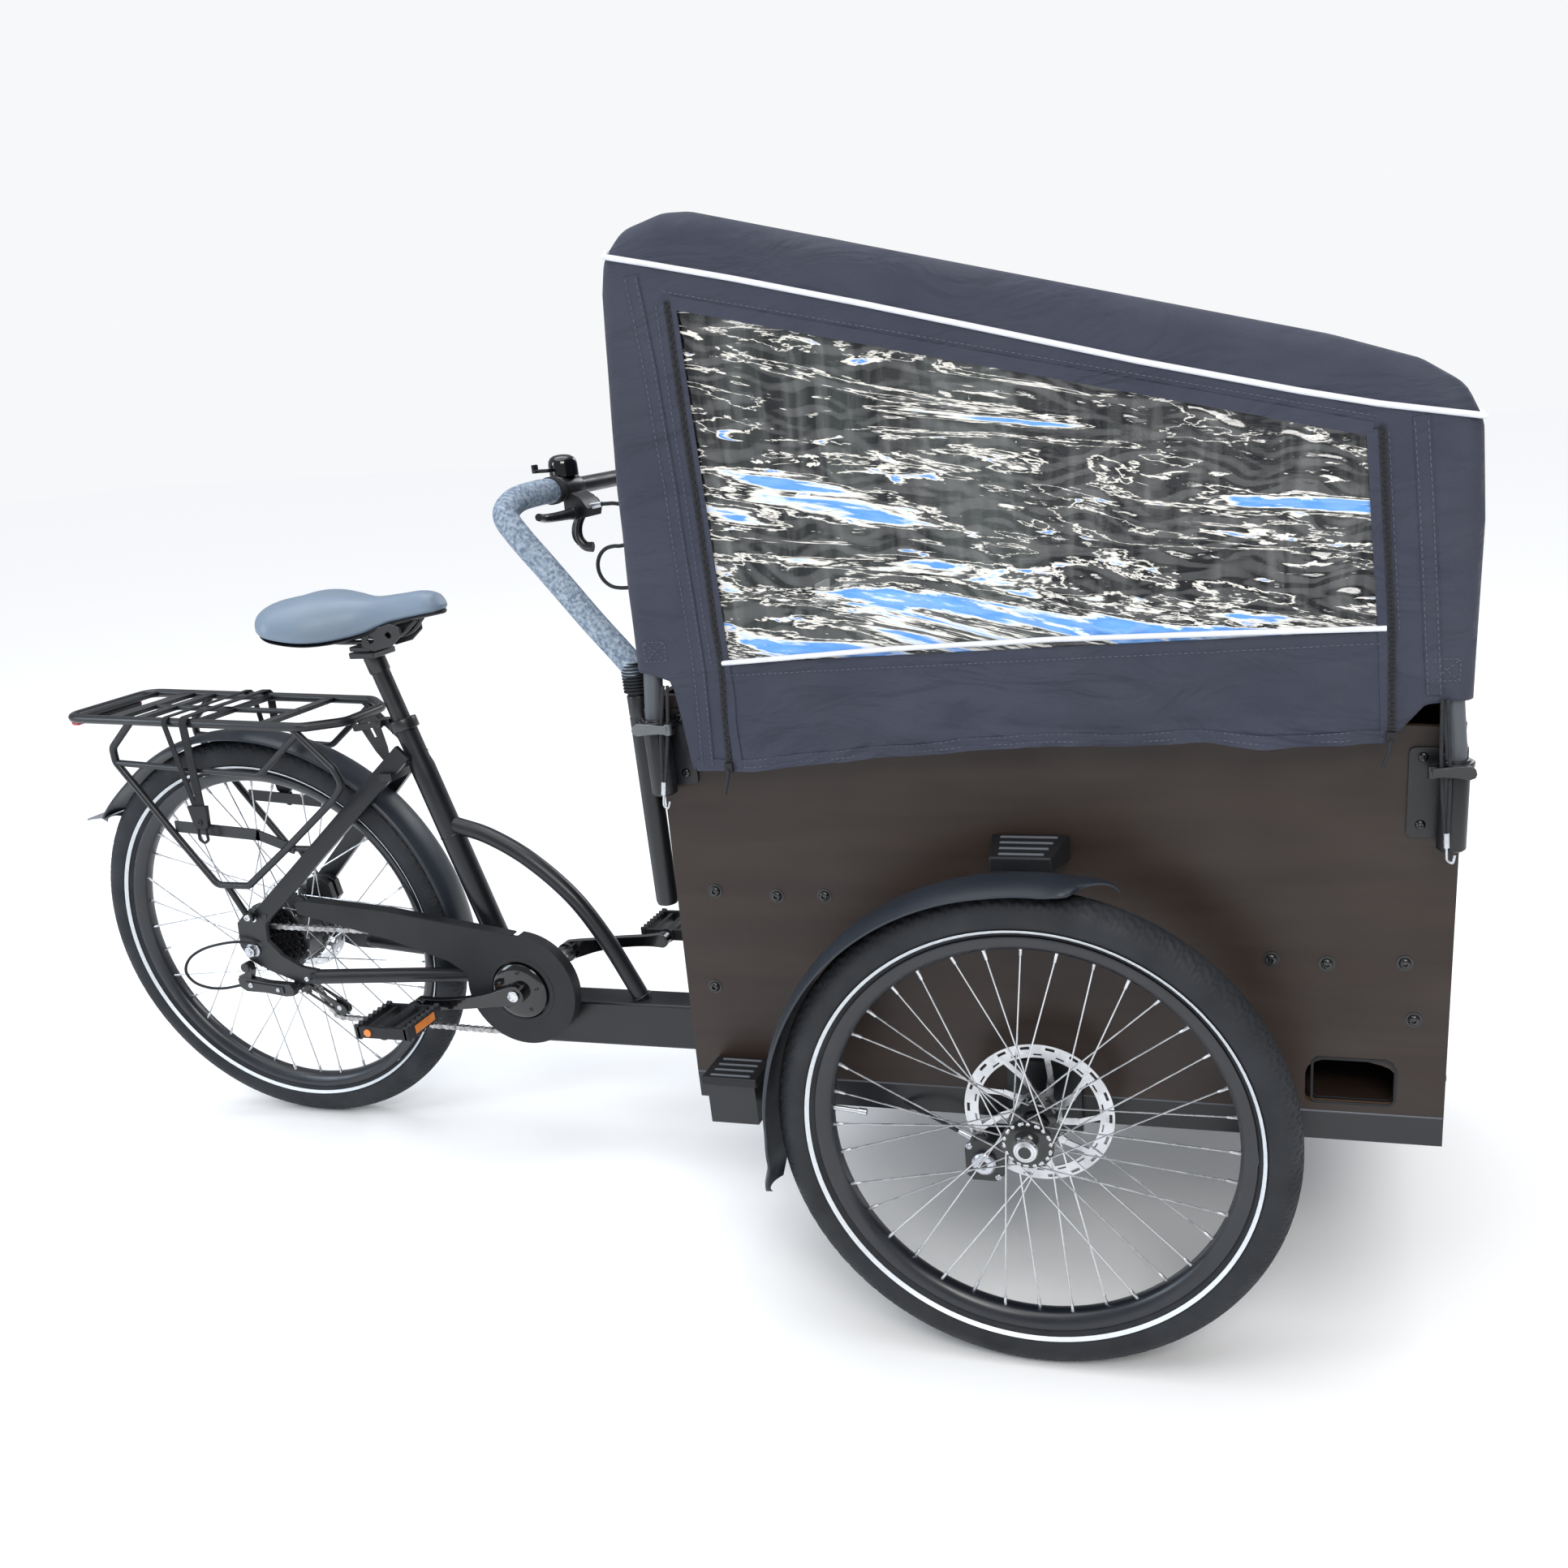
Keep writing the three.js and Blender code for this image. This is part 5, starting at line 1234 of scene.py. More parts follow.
def saddle():
    """The cover as rows of cross-sections, crowned on top and tucked in below, over a thin base."""
    rows, around = 80, 44
    crown_at = smooth_line([(0.0, 866), (0.12, 880), (0.28, 887), (0.45, 883), (0.6, 877.5), (0.75, 880),
                            (0.88, 883), (0.96, 878), (1.0, 866)])
    skirt_at = smooth_line([(0.0, 842), (0.2, 824), (0.38, 816), (0.55, 821), (0.72, 837), (1.0, 851)])
    cover, base = [], []
    for i in range(rows + 1):
        t = 0.002 + 0.996 * (0.5 - 0.5 * math.cos(math.pi * i / rows))
        x = SADDLE_TAIL + SADDLE_LENGTH * t
        half = max(saddle_half_width(x), 1.0)
        crown, skirt = crown_at(t), skirt_at(t)
        edge = min(1.0, half / 20)
        hem = skirt + 10
        for k in range(around):
            angle = 2 * math.pi * k / around
            s, c = math.sin(angle), math.cos(angle)
            y = half * math.copysign(abs(c) ** 0.85, c)
            if s >= 0:
                groove = 4.5 * math.exp(-((y / 24) ** 2)) * (1 - t)
                z = hem + (crown - hem) * s ** 0.85 * edge - groove * s
            else:
                y *= 1 - 0.06 * abs(s)
                z = hem - 9 * abs(s) ** 0.8 * edge
            cover.append((x, y, z))
            base.append((x + 2 - 4 * t, half * 0.955 * math.copysign(abs(c) ** 0.8, c),
                         skirt + 1.5 + 3.5 * s))
    faces = ring_faces(rows + 1, around)
    skin = Shape().add(cover, faces).make("saddle_skin", "saddle_cover", "seat", "saddle", ("saddle_cover",),
                                          smooth=180)
    Shape().add(base, faces).make("saddle_shell", "black_plastic", "seat", "black_plastic", ("saddle_base",),
                                  smooth=180)


# ---------------------------------------------------------------- cranks and pedals
def crank_parts():
    end = Vector((-CRANK_LENGTH * math.cos(CRANK_ANGLE), 0, -CRANK_LENGTH * math.sin(CRANK_ANGLE)))
    centre = Vector((BB[0], 0, BB[1]))
    for name, way, y in (("right", 1, -1), ("left", -1, 1)):
        tip = centre + end * way
        arm = Shape()
        ahead = (tip - centre).normalized()
        up = Vector((-ahead.z, 0, ahead.x))
        width_at = smooth_line([(0.0, 16), (0.12, 14), (0.3, 10.5), (0.6, 8.6), (0.86, 8.8), (1.0, 11.5)])
        sides = []
        for k in range(21):
            t = k / 20
            spot = centre.lerp(tip, t) + up * (5 * math.sin(math.pi * t))
            sides.append((spot, width_at(t)))
        outline = [spot + up * wide for spot, wide in sides]
        for k in range(1, 9):
            angle = math.radians(90 - 20 * k)
            outline.append(tip + ahead * (11.5 * math.cos(angle)) + up * (11.5 * math.sin(angle)))
        outline += [spot - up * wide for spot, wide in sides[::-1]]
        for k in range(1, 9):
            angle = math.radians(-90 - 20 * k)
            outline.append(centre + ahead * (16 * math.cos(angle)) + up * (16 * math.sin(angle)))
        arm.plate([(p.x, p.z) for p in outline], y * 79.5, y * 91)
        arm.lathe([(0, 72), (16, 72), (16, 80), (0, 80)], (centre.x, 0, centre.z), (0, y, 0), 32)
        arm.lathe([(0, 80), (11.5, 80), (11.5, 95), (10, 96), (0, 96)], (tip.x, 0, tip.z), (0, y, 0), 28)
        arm.lathe([(0, 92), (9, 92), (9, 94), (6.5, 95), (6.5, 92.6), (0, 92.6)], (centre.x, 0, centre.z),
                  (0, y, 0), 28, 1, False)
        arm.tube([(tip.x, y * 95, tip.z), (tip.x, y * 184, tip.z)], 4.4, 16, 1)
        arm.make(f"crank_arm_{name}", ["gloss_black", "steel"], "crank",
                 "alloy" if name == "right" else "black_alloy", (f"crank_{name}",), 2.2, segments=3)
        pedal(name, tip, y)
    cap = Shape().lathe([(0, -78), (20, -77.6), (36, -76.4), (43, -74.4), (45, -72.6), (45, -71.2),
                         (0, -71.2)],
                        (BB[0], 0, BB[1]), steps=72, closed=False)
    for k in range(5):
        x, z = polar(BB, 33, 72 * k + 12)
        cap.dome_screw((x, -76.6, z), (0, -1, 0), 3.4)
    cap.make("crank_cap", ["gloss_black", "steel"], "crank", "black_plastic")
    ring = Shape()
    toothed(ring, BB, 38, CHAINRING_TIP, CHAINRING_TIP - 5.5, -57.2, -54.8, 52)
    ring.lathe([(8.5, -57), (50, -57), (54, -56.9), (54, -55.1), (50, -55), (12, -55), (12, -52.2),
                (8.5, -52.2)],
               (BB[0], 0, BB[1]), steps=60)
    ring.make("chainring_teeth", "black_metal", "crank", "black_alloy", ("chainring",), smooth=30)
    dress("crank_spindle", "steel", 0.5)


def pedal(name, tip, y):
    """A platform pedal: a barrel between two toothed side plates, with reflectors front and back."""
    shape = Shape()
    shape.lathe([(5.2, 102), (12, 102), (12, 108), (9.5, 112), (9.5, 176), (12, 180), (12, 186), (5.2, 186)],
                (tip.x, 0, tip.z), (0, y, 0), 28)
    for edge in (-1, 1):
        x0 = tip.x + edge * 46
        outline = []
        teeth = 7
        for k in range(teeth):
            base = 106 + k * 80 / teeth
            outline += [(y * base, tip.z + 13), (y * (base + 4), tip.z + 9.5), (y * (base + 8), tip.z + 9.5),
                        (y * (base + 11), tip.z + 13)]
        outline += [(y * 188, tip.z + 10), (y * 188, tip.z - 10)]
        for k in range(teeth - 1, -1, -1):
            base = 106 + k * 80 / teeth
            outline += [(y * (base + 11), tip.z - 13), (y * (base + 8), tip.z - 9.5),
                        (y * (base + 4), tip.z - 9.5), (y * base, tip.z - 13)]
        outline += [(y * 104, tip.z - 10), (y * 104, tip.z + 10)]
        shape.plate(outline, x0, x0 - edge * 8, "yz")
        lens = [(y * 122, tip.z + 6.5), (y * 170, tip.z + 6.5), (y * 170, tip.z - 6.5),
                (y * 122, tip.z - 6.5)]
        shape.plate(lens, x0 + edge * 0.6, x0 - edge, "yz", kind=1)
    shape.plate([polar((tip.x - 24, tip.z), 6, 24 * k) for k in range(15)], y * 187.6, y * 190, kind=1)
    for inset in (105, 182):
        shape.block((tip.x - 42, tip.x + 42), (y * inset, y * (inset + 6)), (tip.z - 9, tip.z + 9))
    for place in (-26, 26):
        shape.block((tip.x + place - 3, tip.x + place + 3), (y * 110, y * 184), (tip.z - 7, tip.z + 7))
    shape.make(f"pedal_body_{name}", ["black_plastic", "amber_lens"], f"pedal_{name}", "black_plastic",
               (f"pedal_{name}",), 0.8)


# ---------------------------------------------------------------- cargo box
def pair(shape, name, materials, body, slot, node=None, **more):
    """Makes a right-hand piece and its mirror image; {side} in a body or node becomes right or left."""
    for side, matrix in (("right", Matrix.Identity(4)), ("left", MIRROR)):
        replaced = (node.format(side=side),) if node else ()
        Shape().merge(shape, matrix).make(f"{name}_{side}", materials, body.format(side=side), slot,
                                          replaced, **more)


def ribbed_step(corners_box, corners_tip, y_box, y_tip, ribs):
    """A moulded step from its rectangle at the box to the one at its tip, with ribs along its top."""
    shape = Shape()
    (x0, x1, z0, z1), (u0, u1, w0, w1) = corners_box, corners_tip
    points = [(x0, y_box, z0), (x1, y_box, z0), (x1, y_box, z1), (x0, y_box, z1),
              (u0, y_tip, w0), (u1, y_tip, w0), (u1, y_tip, w1), (u0, y_tip, w1)]
    shape.add(points, [(0, 1, 2, 3), (7, 6, 5, 4), (0, 4, 5, 1), (3, 2, 6, 7), (0, 3, 7, 4), (1, 5, 6, 2)])
    for k in range(ribs):
        t = 0.14 + 0.72 * k / (ribs - 1)
        y = y_box + (y_tip - y_box) * t
        z = z1 + (w1 - z1) * t
        a, b = x0 + (u0 - x0) * t, x1 + (u1 - x1) * t
        shape.tube([(a + 10, y, z - 0.4), (b - 10, y, z - 0.4)], 2.3, 10, 1)
    return shape


def cargo_box():
    for node in ("box_side_right", "box_side_left"):
        dress(node, "plywood", 1.2)
    for node in ("box_front", "box_rear", "box_floor", "bench_rear", "bench_front"):
        dress(node, "board", 1.0)
    dress("base_frame", "frame_paint", 2.0)
    screws = Shape()
    side_screws = [(-399, 554), (-319, 550), (-258, 552), (-416, 425), (264, 492), (324, 489), (406, 493),
                   (418, 425)]
    for x, z in side_screws:
        screws.lathe([(9, 0), (9, 0.8), (0, 0.8)], (x, -BOX_SIDE, z), (0, -1, 0), 24, 1, False)
        screws.dome_screw((x, -BOX_SIDE - 0.8, z), (0, -1, 0), 6.6)
    whole = screws.mirrored()
    for x, normal in ((455, 1), (-455, -1)):
        for y in (-292, -150, 150, 292):
            place_z = 340 if normal > 0 else 345
            whole.dome_screw((x + normal * 0.3, y, place_z), (normal, 0, 0), 6)
    whole.make("box_screws", ["gloss_black", "black_metal"], "front_carrier", "black_alloy")
    hand = Shape()
    outline = [(309, 320), (309, 366), (316, 373), (390, 373), (398, 369), (403, 360), (403, 320), (397, 314),
               (315, 314)]
    inner = [(312, 321.5), (312, 365), (317.5, 370), (389, 370), (396, 366.6), (400, 359), (400, 321.5),
             (395.5, 317), (316.5, 317)]
    for low, high in ((-321.2, -319.4), (-310.6, -308.8)):
        hand.plate(outline, low, high, "xz", [inner])
    pair(hand, "hand_hole_rim", "black_plastic", "front_carrier", "black_plastic", bevel=0.4)
    bead = Shape().tube([(-455, -BEAD_Y, 303), (454, -BEAD_Y, 303)], 1.4, 10)
    bead.mirrored().make("box_sealing_bead", "pole_paint", "front_carrier", "black_plastic")
    upper = ribbed_step((-48, 42, 604, 635), (-40, 30, 610, 627), -320.4, -377, 4)
    pair(upper, "upper_step_pad", ["black_plastic", "pole_paint"], "front_carrier", "black_plastic",
         "upper_step_{side}", bevel=3.2, segments=3)
    lower = ribbed_step((-424.5, -350.5, 316, 327.4), (-424.5, -350.5, 316, 327.4), -321, -377, 4)
    pair(lower, "lower_step_pad", ["black_plastic", "pole_paint"], "front_carrier", "black_plastic",
         bevel=2.0, segments=2)


def front_calipers():
    half = Shape()
    half.plate([(-90, 222), (-82, 214), (-52, 214), (-42, 224), (-41, 252), (-50, 266), (-78, 268),
                (-90, 256)],
               -381, -369)
    half.plate([(-88, 224), (-80, 216), (-54, 216), (-44, 226), (-43, 250), (-52, 264), (-78, 266),
                (-88, 254)],
               -363, -348)
    half.block((-80, -52), (-370, -362), (252, 266))
    half.block((-84, -44), (-350, -328.4), (238, 262))
    half.lathe([(0, 0), (14, 0), (15, 2), (15, 6), (12, 9), (0, 9)], (-66, -381, 240), (0, -1, 0), 36, 1,
               False)
    half.lathe([(0, 9), (5, 9), (5, 11), (2.6, 11), (2.6, 9.4), (0, 9.4)], (-66, -381, 240), (0, -1, 0), 24,
               0,
               False)
    half.dome_screw((-84, -381, 260), (0, -1, 0), 4.6, 1)
    half.dome_screw((-50, -381, 220), (0, -1, 0), 4.6, 1)
    half.tube([(-88, -352, 254), (-104, -352, 262)], [4.6, 3.4], 14, 1)
    pair(half, "front_caliper_body", ["black_metal", "alloy"], "front_carrier", "black_alloy",
         "front_caliper_{side}", bevel=1.4)


def front_fenders():
    centre = (0.0, FRONT_RADIUS)
    stops = [(70, 322), (80, 316), (96, 314), (116, 314), (148, 314), (164, 315), (180, 317), (188, 321),
             (196, 338)]
    shape = fender_shape(centre, stops, -FRONT_TRACK, 35, 9, 84, 14, 8.0)
    x, z = polar(centre, 318, 158)
    tilt = math.radians(158 - 90)
    along = Vector((math.cos(tilt), 0, math.sin(tilt)))
    normal = Vector((-math.sin(tilt), 0, math.cos(tilt)))
    shape.strip([(x, -320.4, z), (x, -402, z)], 20, 3, along, 1)
    for place in (-395, -330):
        shape.dome_screw(Vector((x, place, z)) + normal * 1.5, normal, 4.6, 1)
    shape.block((-21, -1), (-388, -320.4), (600, 603), 1)
    shape.block((-21, -1), (-388, -385.4), (600, 615), 1)
    pair(shape, "front_mudguard", ["fender", "black_metal"], "front_carrier", "fender",
         "front_fender_{side}", smooth=60)


# ---------------------------------------------------------------- corner brackets
def rounded(x0, x1, z0, z1, radius):
    corners = [(x1 - radius, z1 - radius, 0), (x0 + radius, z1 - radius, 90), (x0 + radius, z0 + radius, 180),
               (x1 - radius, z0 + radius, 270)]
    return [polar((x, z), radius, start + step) for x, z, start in corners for step in range(0, 91, 18)]


def corner_bracket(x, inward, low, high, leg):
    edge = BOX_SIDE + 138.6 if x > 0 else -458.7
    shape = Shape()
    shape.plate(rounded(*low_high(edge, edge + inward * 58), low + 8, high + 8, 6), -323.5, -320.4)
    shape.plate(rounded(-323.5, -262, low + 8, high + 8, 3), edge, edge + inward * 3.2, "yz")
    shape.block((edge, x), (-332, -320.4), (low + 2, high - 4))
    shape.lathe([(11.4, low + 6), (11.4, high), (14.4, high), (15, high - 1.5), (15, low + 2), (13, low),
                 (0, low), (0, low + 6)], (x, -SOCKET_Y, 0), (0, 0, 1), 36)
    for start in (high - 16, high - 8):
        shape.lathe([(15, start), (18, start), (19, start + 1), (19, start + 5), (18, start + 6),
                     (15, start + 6)], (x, -SOCKET_Y, 0), (0, 0, 1), 36)
    for step in (-16, -8):
        shape.block((x + inward * 14, x + inward * 27), (-SOCKET_Y - 13, -SOCKET_Y),
                    (high + step, high + step + 6))
    for z in (low + 22, high - 2):
        shape.dome_screw((edge + inward * 44, -323.5, z), (0, -1, 0), 5.4, 1)
        shape.dome_screw((edge + inward * 22, -323.5, z), (0, -1, 0), 5.4, 1)
        shape.dome_screw((edge, -284, z), (-inward, 0, 0), 5.4, 1)
    if leg:
        shape.lathe([(11.1, 535), (11.1, 796), (13.2, 796), (13.6, 795), (13.6, 772), (13.1, 771.4),
                     (13.1, 769.6), (13.6, 769), (13.6, 534), (12.4, 529), (8, 527), (0, 527), (0, 535)],
                    (LEG_X, -LEG_Y, 0), (0, 0, 1), 36)
        shape.block((LEG_X, edge + 2), (-309, -291), (low + 12, high))
    return shape


def clamp_lever(pivot_x, outward, z):
    """A quick-release lever: a short barrel, and a cupped arm that widens to its tip."""
    y = -SOCKET_Y - 21.6
    shape = Shape()
    shape.lathe([(0, -6.6), (4.2, -6.6), (4.6, -6), (4.6, 6), (4.2, 6.6), (0, 6.6)],
                (pivot_x, y + 2.8, z), (0, 0, 1), 24, 0, False)
    outline = [(0, -5.2), (10, -4.4), (22, -4.6), (36, -6.2), (41, -4), (42.4, 0), (41, 5), (36, 8.4),
               (22, 7.4), (10, 5.6), (0, 5.2)]
    points, faces = [], []
    count = len(outline)
    for depth in (2.0, -2.0):
        for reach, rise in outline:
            curve = -0.6 - 3.2 * (reach / 42) ** 2
            points.append((pivot_x + outward * reach, y + curve + depth, z + rise))
    faces.append(tuple(range(count)))
    faces.append(tuple(range(count, 2 * count))[::-1])
    for i in range(count):
        j = (i + 1) % count
        faces.append((i, count + i, count + j, j))
    return shape.add(points, faces)


def corners():
    rear = corner_bracket(-439, 1, 684, 776, True)
    pair(rear, "rear_corner_bracket", ["frame_paint", "gloss_black"], "front_carrier", "frame_paint",
         "rear_bracket_{side}", bevel=0.8)
    front = corner_bracket(445, -1, 632, 730, False)
    pair(front, "front_corner_bracket", ["frame_paint", "gloss_black"], "front_carrier", "frame_paint",
         "front_bracket_{side}", bevel=0.8)
    pair(clamp_lever(-415, -1, 767), "rear_pole_lever", "lever_grey", "rear_clamp_lever_{side}", "alloy",
         "rear_clamp_lever_{side}", bevel=0.7)
    pair(clamp_lever(421, 1, 721), "front_pole_lever", "black_metal", "front_clamp_lever_{side}",
         "black_alloy", "front_clamp_lever_{side}", bevel=0.7)


# ---------------------------------------------------------------- handlebar
def handlebar():
    arm = curve([(LEG_X, -LEG_Y, 820), (LEG_X - 5, -LEG_Y, 835), (-519, -LEG_Y, 883), (-565, -LEG_Y, 943),
                 (-600, -LEG_Y, 988), (-616, -LEG_Y + 8, 1010), (-616, -LEG_Y + 34, 1024),
                 (-605, -LEG_Y + 66, 1029), (-600, -206, 1029)])
    foam = Shape().tube(arm, 15, 28)
    foam.mirrored().make("foam_grips", "foam_sleeve", "handlebar", None, smooth=60)
    parts = Shape()
    parts.tube([(LEG_X, -LEG_Y, 592), (LEG_X, -LEG_Y, 806)], 10.4, 24)
    boot = [(11, 797)]
    for k in range(9):
        z = 799 + k * 3.9
        boot += [(13.4, z), (16.2, z + 1.1), (16.2, z + 2.5), (13.4, z + 3.4)]
    boot += [(15.4, 836), (11, 836)]
    parts.lathe(boot, (LEG_X, -LEG_Y, 0), (0, 0, 1), 36, 1)
    parts.lathe([(9, 12), (15.6, 12), (16.6, 9), (16.6, 0), (9, 0)], (-600, -212, 1029), (0, 1, 0), 36, 1)
    parts.lathe([(10, 0), (14.4, 0), (15.5, 1.4), (15.5, 44.6), (14.4, 46), (10, 46)], (-600, -196, 1029),
                (0, 1, 0), 36)
    parts.plate([(-596, 1020), (-590, 1027), (-574, 1018), (-565, 1004), (-568, 994), (-584, 993),
                 (-597, 1002)], -190, -152)
    parts.tube([(-570, -176, 1006), (-552, -177, 1008)], [4.6, 3.2], 14, 2)
    parts.block((-606, -594), (-186, -160), (1042, 1046))
    parts.strip([(-617, -150, 1036), (-617, -206, 1036)], 1.6, 1.2, (0, 0, 1), 2)
    hook = curve([(-573, -158, 1004), (-586, -162, 997), (-594, -166, 983), (-595, -168, 968),
                  (-588, -168, 957), (-578, -167, 955)], 5)
    parts.tube(hook, [4 + 2.6 * i / len(hook) for i in range(len(hook))], 16)
    parts.strip([p + Vector((-6.4, -1, 0)) for p in hook[6:20]], 7, 0.8, (0, 1, 0), 2)
    whole = parts.mirrored()
    whole.tube([(-600, -206, 1029), (-600, 206, 1029)], 10.4, 24)
    whole.lathe([(0, 9), (7, 9), (7, 17), (0, 17)], (-600, -172, 1029), (0, 0, 1), 28)
    whole.make("handlebar_tube", ["black_metal", "rubber", "alloy"], "handlebar", "black_alloy",
               ("handlebar",), bevel=0.8)
    dome = [(0, 40.5), (5, 40.2), (10, 39.2), (14.4, 36.6), (16.8, 32.6), (17.6, 28), (17.6, 15), (16.6, 14),
            (15.8, 15), (15.8, 19), (0, 19)]
    Shape().lathe(dome, (-600, -172, 1029), (0, 0, 1), 48, closed=False).make(
        "bell_dome", "gloss_black", "handlebar", "black_plastic")
    lever = Shape()
    blade = curve([(-580, -196, 1000), (-583, -214, 1000), (-585, -234, 1000), (-587, -256, 1001),
                   (-585, -273, 1004)], 5)
    lever.tube(blade, [6.6 - 0.1 * i for i in range(len(blade))], 16)
    lever.lathe([(0, -6.5), (7, -6.5), (7.4, -5), (7.4, 5), (7, 6.5), (0, 6.5)], (-580, -199, 1000),
                (0, 0, 1), 28, 0, False)
    pair(lever, "brake_blade", "black_metal", "brake_lever_{side}", "black_alloy", "brake_lever_{side}")
    shifter = Shape()
    shifter.lathe([(0, -149.4), (8, -149.4), (9, -148.4), (9, -144.2), (8, -143.4), (0, -143.4)],
                  (-580, 0, 1007), (0, 1, 0), 32, 0, False)
    shifter.plate([(-578, 1011), (-584, 1003), (-604, 996.5), (-614, 996), (-616, 1000), (-611, 1003),
                   (-596, 1007)], -149, -143.6)
    shifter.make("shift_paddle", "black_plastic", "shift_lever", "black_plastic", ("shift_lever",), 0.8)
    flick = Shape().plate([(-606, -189.8), (-606, -199), (-618, -200), (-621, -204), (-626, -203),
                           (-626, -192), (-621, -189.8)], 1050, 1054, "xy")
    flick.plate([(-626, -203), (-626, -192), (-622.5, -192), (-622.5, -203)], 1050, 1060, "xy")
    flick.make("bell_thumb_tab", "black_plastic", "bell_lever", "black_plastic", ("bell_lever",), 0.8)


# ---------------------------------------------------------------- canopy
WINDOW = {"bottom_left": (-337, 842), "bottom_right": (370, 866), "top_left": (-349, 1222),
          "top_right": (353, 1058)}
PIPING = [(-416, 1271), (-366, 1260), (-279, 1240), (-143, 1206), (-28, 1176), (131, 1134), (284, 1097),
          (358, 1081), (452, 1065)]
HEM = [(-404, 822), (-396, 760), (-391, 719), (-338, 717), (-245, 724), (-157, 734), (-64, 742), (27, 748),
       (105, 746), (191, 752), (257, 744), (322, 748), (376, 750), (412, 790)]
REAR_SEAM = [(-372, 722), (-369, 831), (-372, 932), (-375, 1037), (-381, 1162), (-389, 1250)]
FRONT_SEAM = [(420, 800), (412, 894), (404, 987), (396, 1068)]
PIPING_TURN = 16
CLOTH = 1.3
RIBBON, RIBBON_STEP = 1.4, 9.0
ZIP_PITCH = 4.4
BARS = ((-345, 1288), (305, 1129))
FLAP_FOOT = 728
FLAP_ROWS = 10


def smooth_step(value):
    value = min(1.0, max(0.0, value))
    return value * value * (3 - 2 * value)


class Profile:
    """The canopy's outline from its rear hem over the roof to its front hem, walked by distance."""

    def __init__(self):
        corners = [(-452, 832), (-446, 1040), (-432, 1236), (-424, 1270), (-400, 1296), (-352, 1309),
                   (-325, 1308), (312, 1146), (395, 1119), (436, 1094), (454, 1060), (460, 968), (459, 793)]
        path = [(p.x, p.z) for p in bend([(x, 0, z) for x, z in corners], 40, 6)]
        self.points = path
        self.runs = running(path)
        self.length = self.runs[-1]

    def at(self, distance):
        distance = min(max(distance, 0.0), self.length)
        for i in range(len(self.runs) - 1):
            if distance <= self.runs[i + 1]:
                t = (distance - self.runs[i]) / max(self.runs[i + 1] - self.runs[i], 1e-9)
                (x0, z0), (x1, z1) = self.points[i], self.points[i + 1]
                return Vector((x0 + (x1 - x0) * t, z0 + (z1 - z0) * t))
        return Vector(self.points[-1])

    def inward(self, distance):
        ahead = (self.at(distance + 14) - self.at(distance - 14)).normalized()
        return Vector((ahead.y, -ahead.x))

    def nearest(self, place):
        spots = [k * 1.0 for k in range(int(self.length))]
        return min(spots, key=lambda s: (self.at(s) - Vector(place)).length)

    def radius(self, distance):
        """The corner radius: tight round the upright poles, wider along the roof."""
        up = smooth_step((distance - 440) / 120) * smooth_step((self.length - 330 - distance) / 120)
        return 20 + 3 * up


def cloth_out(x, z):
    """How far the side cloth stands out from its plane: folds, and waves in the flap under the window."""
    flap = smooth_step((880 - z) / 110) * smooth_step((x + 360) / 40) * smooth_step((400 - x) / 40)
    lower = smooth_step((860 - z) / 160)
    out = 1.6 * noise.noise(Vector((x / 130, z / 150, 1.0)))
    out += 0.9 * noise.noise(Vector((x / 42, z / 60, 5.0)))
    slanted = x / 95 + z / 60
    out += flap * 7.5 * noise.noise(Vector((x / 120, slanted, 3.0)))
    out += flap * 4.2 * noise.noise(Vector((x / 46, z / 34 + x / 150, 9.0)))
    out += flap * 2.0 * noise.noise(Vector((x / 20, z / 26 - x / 60, 14.0)))
    out += lower * 2.5 * math.sin(x / 31 + 1.7 * noise.noise(Vector((x / 90, 0.0, 2.0)))) * flap
    band = smooth_step((-330 - x) / 20) + smooth_step((x - 365) / 20)
    out += band * 1.8 * noise.noise(Vector((x / 24 + z / 200, z / 85, 21.0)))
    out += 3.0 * flap + 1.2
    return max(out, -1.2)


def side_place(x, z, lift=0.0):
    return Vector((x, -(CANOPY_Y + cloth_out(x, z) + lift), z))


def running(path):
    """How far along a flat polyline each of its corners is."""
    runs = [0.0]
    for (x0, z0), (x1, z1) in zip(path, path[1:]):
        runs.append(runs[-1] + math.hypot(x1 - x0, z1 - z0))
    return runs


def lerp2(a, b, count):
    return [(a[0] + (b[0] - a[0]) * k / count, a[1] + (b[1] - a[1]) * k / count) for k in range(count + 1)]


def along_line(path, count):
    """count + 1 points at even distances along a polyline."""
    runs = running(path)
    found = []
    for k in range(count + 1):
        target = runs[-1] * k / count
        i = max(j for j in range(len(runs) - 1) if runs[j] <= target + 1e-9)
        t = min(1.0, (target - runs[i]) / max(runs[i + 1] - runs[i], 1e-9))
        found.append((path[i][0] + (path[i + 1][0] - path[i][0]) * t,
                      path[i][1] + (path[i + 1][1] - path[i][1]) * t))
    return found


def coons(bottom, top, left, right):
    """A grid between four edges: bottom and top run forwards, left and right run upwards."""
    rows, columns = len(left) - 1, len(bottom) - 1
    grid = []
    for i in range(rows + 1):
        v = i / rows
        line = []
        for j in range(columns + 1):
            u = j / columns
            point = []
            for c in (0, 1):
                sides = (1 - u) * left[i][c] + u * right[i][c]
                ends = (1 - v) * bottom[j][c] + v * top[j][c]
                corner = ((1 - u) * (1 - v) * bottom[0][c] + u * (1 - v) * bottom[-1][c]
                          + (1 - u) * v * top[0][c] + u * v * top[-1][c])
                point.append(sides + ends - corner)
            line.append(tuple(point))
        grid.append(line)
    return grid


def grid_faces(rows, columns):
    return [(i * columns + j, i * columns + j + 1, (i + 1) * columns + j + 1, (i + 1) * columns + j)
            for i in range(rows - 1) for j in range(columns - 1)]


